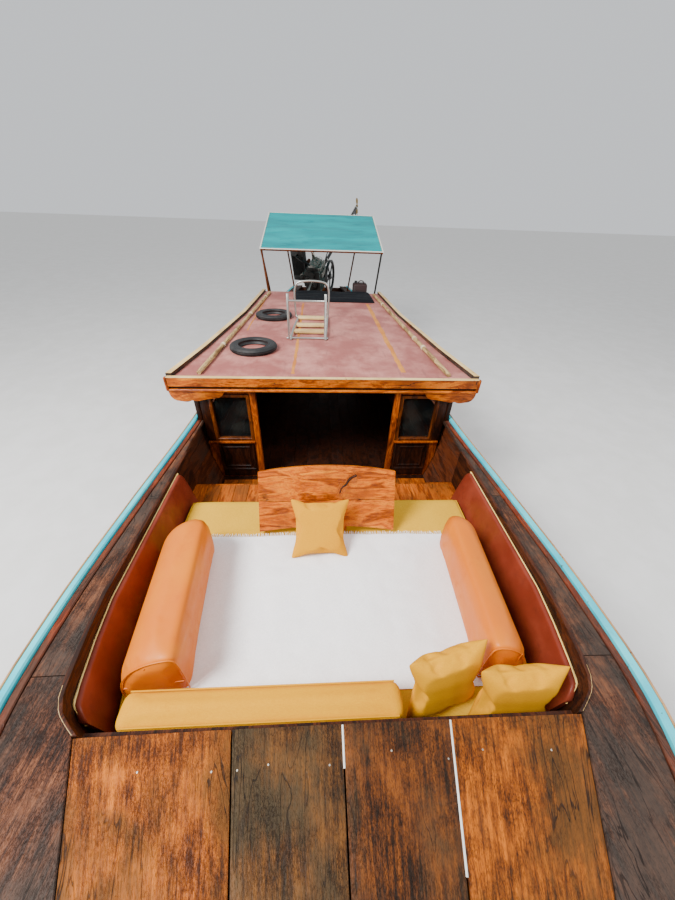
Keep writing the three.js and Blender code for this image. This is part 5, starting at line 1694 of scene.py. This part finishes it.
def make_fuel_can():
    """Moulded can with pressed ribs, its cap and its carrying handle."""
    low, high = (Vector(corner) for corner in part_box("fuel_can"))
    middle = (low + high) / 2
    shoulder = high.z - 0.06
    rings = []
    for z, inset in (
        (low.z, 0.012), (low.z + 0.012, 0.002), (low.z + 0.03, 0.0),
        (shoulder - 0.02, 0.0), (shoulder, 0.006), (shoulder + 0.012, 0.022),
    ):
        ring = []
        for sx, sy in ((-1, -1), (1, -1), (1, 1), (-1, 1)):
            cx = (low.x + high.x) / 2 + sx * ((high.x - low.x) / 2 - inset - CAN_CORNER)
            cy = (low.y + high.y) / 2 + sy * ((high.y - low.y) / 2 - inset - CAN_CORNER)
            start = math.atan2(sy, sx) - math.pi / 4
            ring += [(cx + dx, cy + dy, z) for dx, dy in arc(CAN_CORNER, start, start + math.pi / 2, 6)]
        rings.append(ring)
    piece("fuel_can_shell", [rings], CAN, "fuel_can", ("fuel_can",), 40)
    ribs = []
    for z in np.linspace(low.z + 0.09, shoulder - 0.09, 6):
        xs, ys = ((low[axis] + 0.035, high[axis] - 0.035) for axis in (0, 1))
        ribs += [[(x, y, z) for x in xs] for y in (low.y + 0.0005, high.y - 0.0005)]
        ribs += [[(x, y, z) for y in ys] for x in (low.x + 0.0005, high.x - 0.0005)]
    bars("fuel_can_ribs", ribs, 0.004, CAN, "fuel_can", 8)
    cap = [(middle.x, middle.y - 0.075, shoulder + z) for z in (0.004, 0.02, 0.03, 0.047)]
    bars("fuel_can_cap", [cap], lambda s: 0.021 if s < 0.5 else 0.028, RUBBER, "tyre_rubber", 20)
    grip = smooth_path([(middle.x, middle.y + y, shoulder + z) for y, z in HANDLE], 6)
    bars("fuel_can_handle", [grip], 0.009, CAN, "fuel_can", 12)


def make_canopy():
    """Lashed poles, and the tarpaulin drawn over them with a laced pale hem."""
    poles = dress("canopy_frame", FRAME_WOOD, "pole_wood", 0.001, 1, 50)
    paint(poles, DARK_STEEL, lambda p: p.y > 0.9 and p.x > -4.2 and p.z < 1.78)
    fore, aft, half, fore_top, aft_top = CANOPY.values()
    crossbars = (fore - 0.018, fore - 0.06, (fore + aft) / 2, aft + 0.06, aft + 0.018)

    def spot(x, y):
        edge = max(0, 1 - min(x - aft, fore - x, half - abs(y)) / 0.1)
        reach = min(abs(x - bar) for bar in crossbars)
        hang = 0.016 * min(1, reach / 0.35) * (1 - (y / half) ** 2) ** 0.5
        fold = ripple(x * 2.6, y * 3.2, 0.9) * 0.012 + ripple(x * 8, y * 5, 3.1) * 0.006
        tug = 0.003 * math.cos(y * 2 * math.pi / 0.21) * edge
        return (x, y, canopy_z(x) - 0.002 - hang + fold * (1 - edge) - abs(tug))

    tarp = cloth_grid("tarp_cloth", (aft, -half), (fore, half), (84, 96), spot, TARP, 0.0012)[0]
    settle(tarp, "teal_tarp", ("canopy_tarp",), 60)
    rim = [(aft, -half), (fore, -half), (fore, half), (aft, half)]
    loop = []
    for (xa, ya), (xb, yb) in zip(rim, rim[1:] + rim[:1]):
        loop += [(xa + (xb - xa) * t, ya + (yb - ya) * t) for t in np.linspace(0, 1, 40, endpoint=False)]

    def inward(x, y, inset):
        """The rim's point moved in from the edges it lies on."""
        dx = 1 if x < aft + 0.001 else -1 if x > fore - 0.001 else 0
        dy = 1 if y > half - 0.001 else -1 if y < -half + 0.001 else 0
        return x + inset * dx, y - inset * dy

    # Hem folded over all four edges, its eyelets and lacing
    rings, spots, laces = [], [], []
    for x, y in loop:
        z = canopy_z(x) - 0.004
        xi, yi = inward(x, y, HEM_WIDTH)
        outer = [(x, y, z - 0.004), (x, y, z + 0.004)]
        rings.append([*outer, (xi, yi, canopy_z(xi) + 0.0006), (xi, yi, canopy_z(xi) - 0.0062)])
    hem = settle(closed_lofts("tarp_hem", [rings], HEM), "teal_tarp", (), 40)
    for x, y in loop[::2]:
        xi, yi = inward(x, y, EYELET_IN)
        xo, yo = inward(x, y, LACE_IN)
        spots.append((xi, yi, canopy_z(xi) + 0.0008))
        eye, rim_end = (xi, yi, canopy_z(xi) + 0.001), (xo, yo, canopy_z(xo) - 0.003)
        over = ((xi + xo) / 2, (yi + yo) / 2, canopy_z(xo) + 0.005)
        laces.append(smooth_path([eye, over, rim_end], 3))
    eyelets = repeat("tarp_eyelets", "ring", spots, (0, 0, 1), 0.0075, 0.0016, BRIGHT, "dark_steel")
    lacing = bars("tarp_lacing", laces, 0.0018, ROPE, "teal_tarp", 6)


# Engine. Its sizes are given in the engine's own frame, with the tail level and straight aft.

PIVOT = Vector((-5.45, 0, 1.32))
TAIL_LIFT, TAIL_SWING = math.radians(18.1), math.radians(17.3)
PARKED = Matrix.Rotation(-TAIL_SWING, 4, "Z") @ Matrix.Rotation(TAIL_LIFT, 4, "Y")
ENGINE = Matrix.Translation(PIVOT) @ PARKED
TO_ENGINE = ENGINE.inverted()
# Painted parts of the block, later rows over earlier ones. Columns: finish, boxes of x, y and z.
BLOCK_PAINTS = (
    (GREEN_PAINT, (0.17, 0.61, -0.17, 0.16, -0.16, 0.252)),
    (ALUMINIUM, (0.2, 0.61, -0.065, 0.065, 0.311, 0.4), (0.2, 0.6, 0.1, 0.2, 0.25, 0.33)),
    (BLACK_PAINT, (0.05, 0.25, -0.3, -0.05, 0.38, 0.6)),
    (BRIGHT, (0.225, 0.3, -0.13, -0.02, 0.35, 0.53)),
    (RUST, (0.0, 0.36, -0.28, -0.156, 0.15, 0.23)),
    (RUBBER, (0.502, 0.64, -0.34, -0.152, -0.02, 0.1), (0.502, 0.64, -0.34, -0.03, 0.35, 0.53)),
    (ALUMINIUM, (0.515, 0.63, -0.26, -0.155, 0.1, 0.2)),
)
FLYWHEEL_AT = Vector((0.3, 0.215, 0.03))
# Studs on the head and its cover. Columns: their x, their y, height.
TOP_STUDS = (
    ((0.205, 0.305, 0.4, 0.495, 0.595), (-0.116, 0.116), 0.27),
    ((0.24, 0.32, 0.4, 0.48, 0.56), (-0.052, 0.052), 0.347),
)
# Fan belts. Columns: x, pulleys as (y, z, radius).
BELTS = (
    (0.636, ((0, 0.04, 0.106), (0, 0.205, 0.063))),
    (0.65, ((0, 0.04, 0.106), (-0.205, 0.15, 0.035))),
)
# Injector pipes from the head down to the pump, as offsets from their x, and the fuel line
INJECTOR_PIPE = (
    (0, 0.05, 0.372), (0, 0.085, 0.376), (0.008, 0.125, 0.35), (0.01, 0.168, 0.29), (0.01, 0.17, 0.2),
)
FUEL_LINE = (
    (0.235, -0.19, 0.1155), (0.235, -0.19, 0.14), (0.26, -0.185, 0.165),
    (0.38, -0.17, 0.16), (0.5, -0.166, 0.1), (0.55, -0.168, 0.052),
)
# Hose clamps. Columns: place, way the hose runs.
CLAMPS = (
    ((0.508, -0.3, 0.5), (1, 0, 0)), ((0.562, -0.052, 0.338), (0, 0.1, 1)),
    ((0.508, -0.25, 0.06), (1, 0, 0)), ((0.592, -0.158, 0.0), (0, 1, 0)),
)
FILTER_BANDS = (-0.262, -0.2, -0.128)
TANK_SEAMS = ((0.478, 0.49), (0.077, 0.089))
# Collars on the shaft tube. Columns: x, width, radius.
COLLARS = (
    (-0.09, 0.05, 0.041), (-0.42, 0.03, 0.0375), (-1.5, 0.03, 0.0375),
    (-2.5, 0.03, 0.0365), (-3.36, 0.06, 0.038),
)
# How a piece given in the engine's frame is settled
ON_ENGINE = {"crease": 35, "place": ENGINE, "body": "engine"}


def outline_of(circles, steps=28):
    """Path of a belt: the hull round circles of (y, z, radius)."""
    dots = set()
    for y, z, r in circles:
        for t in np.linspace(0, 2 * math.pi, steps, endpoint=False):
            dots.add((round(y + r * math.cos(t), 6), round(z + r * math.sin(t), 6)))
    dots = sorted(dots)

    def side(run):
        kept = []
        for dot in run:
            while len(kept) > 1:
                (ax, ay), (bx, by) = kept[-2:]
                if (bx - ax) * (dot[1] - ay) - (by - ay) * (dot[0] - ax) > 0:
                    break
                kept.pop()
            kept.append(dot)
        return kept

    return side(dots)[:-1] + side(dots[::-1])[:-1]


def paint_local(obj, finish, chosen):
    """Paints faces chosen by their place in the engine's frame."""
    paint(obj, finish, lambda p: chosen(TO_ENGINE @ p))


def within(p, box):
    x0, x1, y0, y1, z0, z1 = box
    return x0 < p.x < x1 and y0 < p.y < y1 and z0 < p.z < z1


def make_engine():
    dress("swivel_yoke", DARK_STEEL, "dark_steel", body="swivel")
    dress("engine_frame", BLACK_PAINT, "dark_steel", body="engine")
    casting = dress("engine_block", IRON, "cast_iron", crease=40, body="engine")
    for finish, *boxes in BLOCK_PAINTS:
        paint_local(casting, finish, lambda p: any(within(p, box) for box in boxes))
    make_engine_fittings()
    wheel = dress("flywheel", BLACK_PAINT, "cast_iron", 0.004, crease=40, body="engine")
    on_rim = lambda p: (p - FLYWHEEL_AT).length > 0.292 and abs(p.y - FLYWHEEL_AT.y) < 0.02
    paint_local(wheel, STEEL, on_rim)
    make_radiator()
    tiller = dress("tiller", STEEL, "ladder_steel", 0.001, 1, 50, "engine")
    paint_local(tiller, RUBBER, lambda p: p.x > 0.99)
    dress("shaft_tube", DARK_STEEL, "dark_steel", 0.001, 1, 50, "engine")
    dress("propeller", BRONZE, "prop_bronze", 0.0012, 2, 40, "propeller")
    make_shaft_fittings()


def repeat_on_engine(name, shape, spots, radius, height):
    """Steel shapes on the engine. spots holds (place, facing) in the engine's frame."""
    turn = ENGINE.to_3x3()
    points = [ENGINE @ Vector(place) for place, _ in spots]
    ways = [turn @ Vector(way) for _, way in spots]
    repeat(name, shape, points, ways, radius, height, STEEL, "dark_steel", body="engine")


def belt_rings(x, circles):
    path = outline_of(circles)
    rings = []
    for i, (y, z) in enumerate(path):
        way = (Vector(path[(i + 1) % len(path)]) - Vector(path[i - 1])).normalized()
        yo, zo = y + way.y * 0.006, z - way.x * 0.006
        rings.append([(x - 0.005, y, z), (x + 0.005, y, z), (x + 0.006, yo, zo), (x - 0.006, yo, zo)])
    return rings


def make_engine_fittings():
    """Belts, studs, manifolds, wires and casting detail round the block."""
    belts = closed_lofts("fan_belts", [belt_rings(x, circles) for x, circles in BELTS], BELT)
    belts.data.transform(ENGINE)
    settle(belts, "tyre_rubber", (), 35, "engine")
    studs = []
    for xs, ys, z in TOP_STUDS:
        studs += [((x, y, z), (0, 0, 1)) for x in xs for y in ys]
    for z in (-0.12, -0.02, 0.08, 0.18, 0.235):
        studs += [((x, side * 0.1565, z), (0, side, 0)) for x in (0.2, 0.6) for side in (-1, 1)]
    for y in (-0.04, 0, 0.04):
        studs += [((0.672, y, z), (1, 0, 0)) for z in (0.0, 0.04, 0.08) if (y, z) != (0, 0.04)]
    repeat_on_engine("block_studs", "head", studs, 0.009, 0.008)
    # Cast ribs on the crankcase and the sump's flange
    span = (0.1545, 0.163, -0.13, 0.19)
    ribs = []
    for x in (0.26, 0.34, 0.42, 0.5, 0.56):
        ribs += [side_block(side, x - 0.006, x + 0.006, span) for side in (-1, 1)]
    ribs.append(block((0.185, -0.16, -0.153), (0.615, 0.16, -0.139)))
    piece("block_ribs", ribs, GREEN_PAINT, "cast_iron", rounding=(0.003,), **ON_ENGINE)
    starts = [i * 0.0185 for i in range(21)]
    fins = [block((0.21 + x, -0.1025, 0.275), (0.214 + x, 0.1025, 0.3155)) for x in starts]
    piece("head_fins", fins, ALUMINIUM, "cast_iron", **ON_ENGINE)
    pipes = []
    for x in (0.25, 0.35, 0.45, 0.55):
        pipes.append(smooth_path([(x + dx, y, z) for dx, y, z in INJECTOR_PIPE], 5))
    pipes.append(smooth_path(FUEL_LINE, 6))
    bars("injector_pipes", pipes, 0.0035, BRIGHT, "ladder_steel", 8, **ON_ENGINE)
    pump = [block((0.3, 0.157, 0.11), (0.55, 0.196, 0.2))]
    piece("injection_pump", pump, ALUMINIUM, "cast_iron", rounding=(0.008, 3), **ON_ENGINE)
    repeat_on_engine("hose_clamps", "ring", CLAMPS, 0.0205, 0.0022)
    circle = arc(0.0635, 0, 2 * math.pi, 41)
    hoops = [[(0.15 + dx, y, 0.505 + dz) for dx, dz in circle] for y in FILTER_BANDS]
    bars("air_filter_bands", hoops, 0.0028, STEEL, "dark_steel", 6, **ON_ENGINE)
    circle = arc(0.0318, 0, 2 * math.pi, 25)
    lagging = [[(x, -0.24 + dy, 0.19 + dz) for dy, dz in circle] for x in np.linspace(0.04, 0.24, 14)]
    bars("exhaust_lagging", lagging, 0.0042, RUST, "cast_iron", 6, **ON_ENGINE)


def make_radiator():
    """Tall radiator: black tanks and side channels, a finned core and a brass cap."""
    dress("radiator", BLACK_PAINT, "dark_steel", 0.008, 3, body="engine")
    cores = []
    for x in (0.391, 0.489):
        for z in (0.099 + i * 0.00815 for i in range(46)):
            cores.append(block((x - 0.0045, -0.4175, z), (x + 0.0045, -0.1875, z + 0.0012)))
        for y in (-0.412 + j * 0.01294 for j in range(18)):
            cores.append(block((x - 0.003, y - 0.0012, 0.0955), (x + 0.003, y + 0.0012, 0.4695)))
    piece("radiator_core", cores, DARK_STEEL, "dark_steel", **ON_ENGINE)
    seams = [block((0.377, -0.443, foot), (0.503, -0.162, top)) for foot, top in TANK_SEAMS]
    piece("radiator_tank_seams", seams, BLACK_PAINT, "dark_steel", rounding=(0.003,), **ON_ENGINE)
    cap = [(0.44, -0.3, z) for z in (0.574, 0.5785, 0.5795, 0.5845)]
    girth = lambda s: 0.027 if s < 0.99 else 0.02
    bars("radiator_cap", [cap], girth, BRONZE, "prop_bronze", 16, **ON_ENGINE)


def make_shaft_fittings():
    """Collars along the shaft tube, and the nut on the propeller."""
    collars = []
    for x, wide, size in COLLARS:
        aft, fore = x - wide / 2, x + wide / 2
        path = [(at, 0, 0) for at in (aft, aft + 0.004, fore - 0.004, fore)]
        collars.append(tube_rings(path, lambda s: size - (0.003 if s in (0, 1) else 0), 24))
    piece("shaft_collars", collars, STEEL, "dark_steel", **ON_ENGINE)
    nut = tube_rings([(-3.547, 0, 0), (-3.556, 0, 0), (-3.566, 0, 0)], lambda s: 0.02 - 0.006 * s, 6)
    piece("propeller_nut", [nut], BRONZE, "prop_bronze", place=ENGINE, body="propeller")


# Build

make_topsides()
make_rails()
make_side_decks()
make_foredeck()
make_hull_rest()
make_coaming()
make_backrests()
make_mattress()
make_blanket()
make_side_bolsters()
make_front_bolster()
make_cushions()
make_backboard()
make_cabin()
make_roof()
make_fuel_can()
make_canopy()
make_engine()

# Floor and light

FLOOR_HALF = 60
SKY_COLOUR, SKY_STRENGTH = (0.93, 0.96, 1, 1), 0.85
LAMPS_AIM = Vector((0, 0, 0.6))
# Soft lamps. Columns: name, place, watts, size.
LAMPS = (("key", (3.5, -4.5, 7), 1350, 2.6), ("fill", (2, 7, 6), 320, 5))


def make_studio():
    """Pale floor under the keel, two soft lamps and an even sky."""
    level = CAD_BOX[0][2] - 0.001
    floor = bpy.data.meshes.new("studio_floor")
    corners = [(x * FLOOR_HALF, y * FLOOR_HALF, level) for x, y in ((-1, -1), (1, -1), (1, 1), (-1, 1))]
    floor.from_pydata(corners, [], [(0, 1, 2, 3)])
    link("studio_floor", floor, GROUND)
    world = bpy.data.worlds.new("sky")
    world.use_nodes = True
    sky = world.node_tree.nodes["Background"]
    sky.inputs["Color"].default_value = SKY_COLOUR
    sky.inputs["Strength"].default_value = SKY_STRENGTH
    bpy.context.scene.world = world
    for name, place, watts, size in LAMPS:
        light = bpy.data.lights.new(name, "AREA")
        light.energy = watts
        light.size = size
        lamp = bpy.data.objects.new(name, light)
        lamp.location = place
        lamp.rotation_euler = (LAMPS_AIM - lamp.location).to_track_quat("-Z", "Y").to_euler()
        bpy.context.scene.collection.objects.link(lamp)


make_studio()
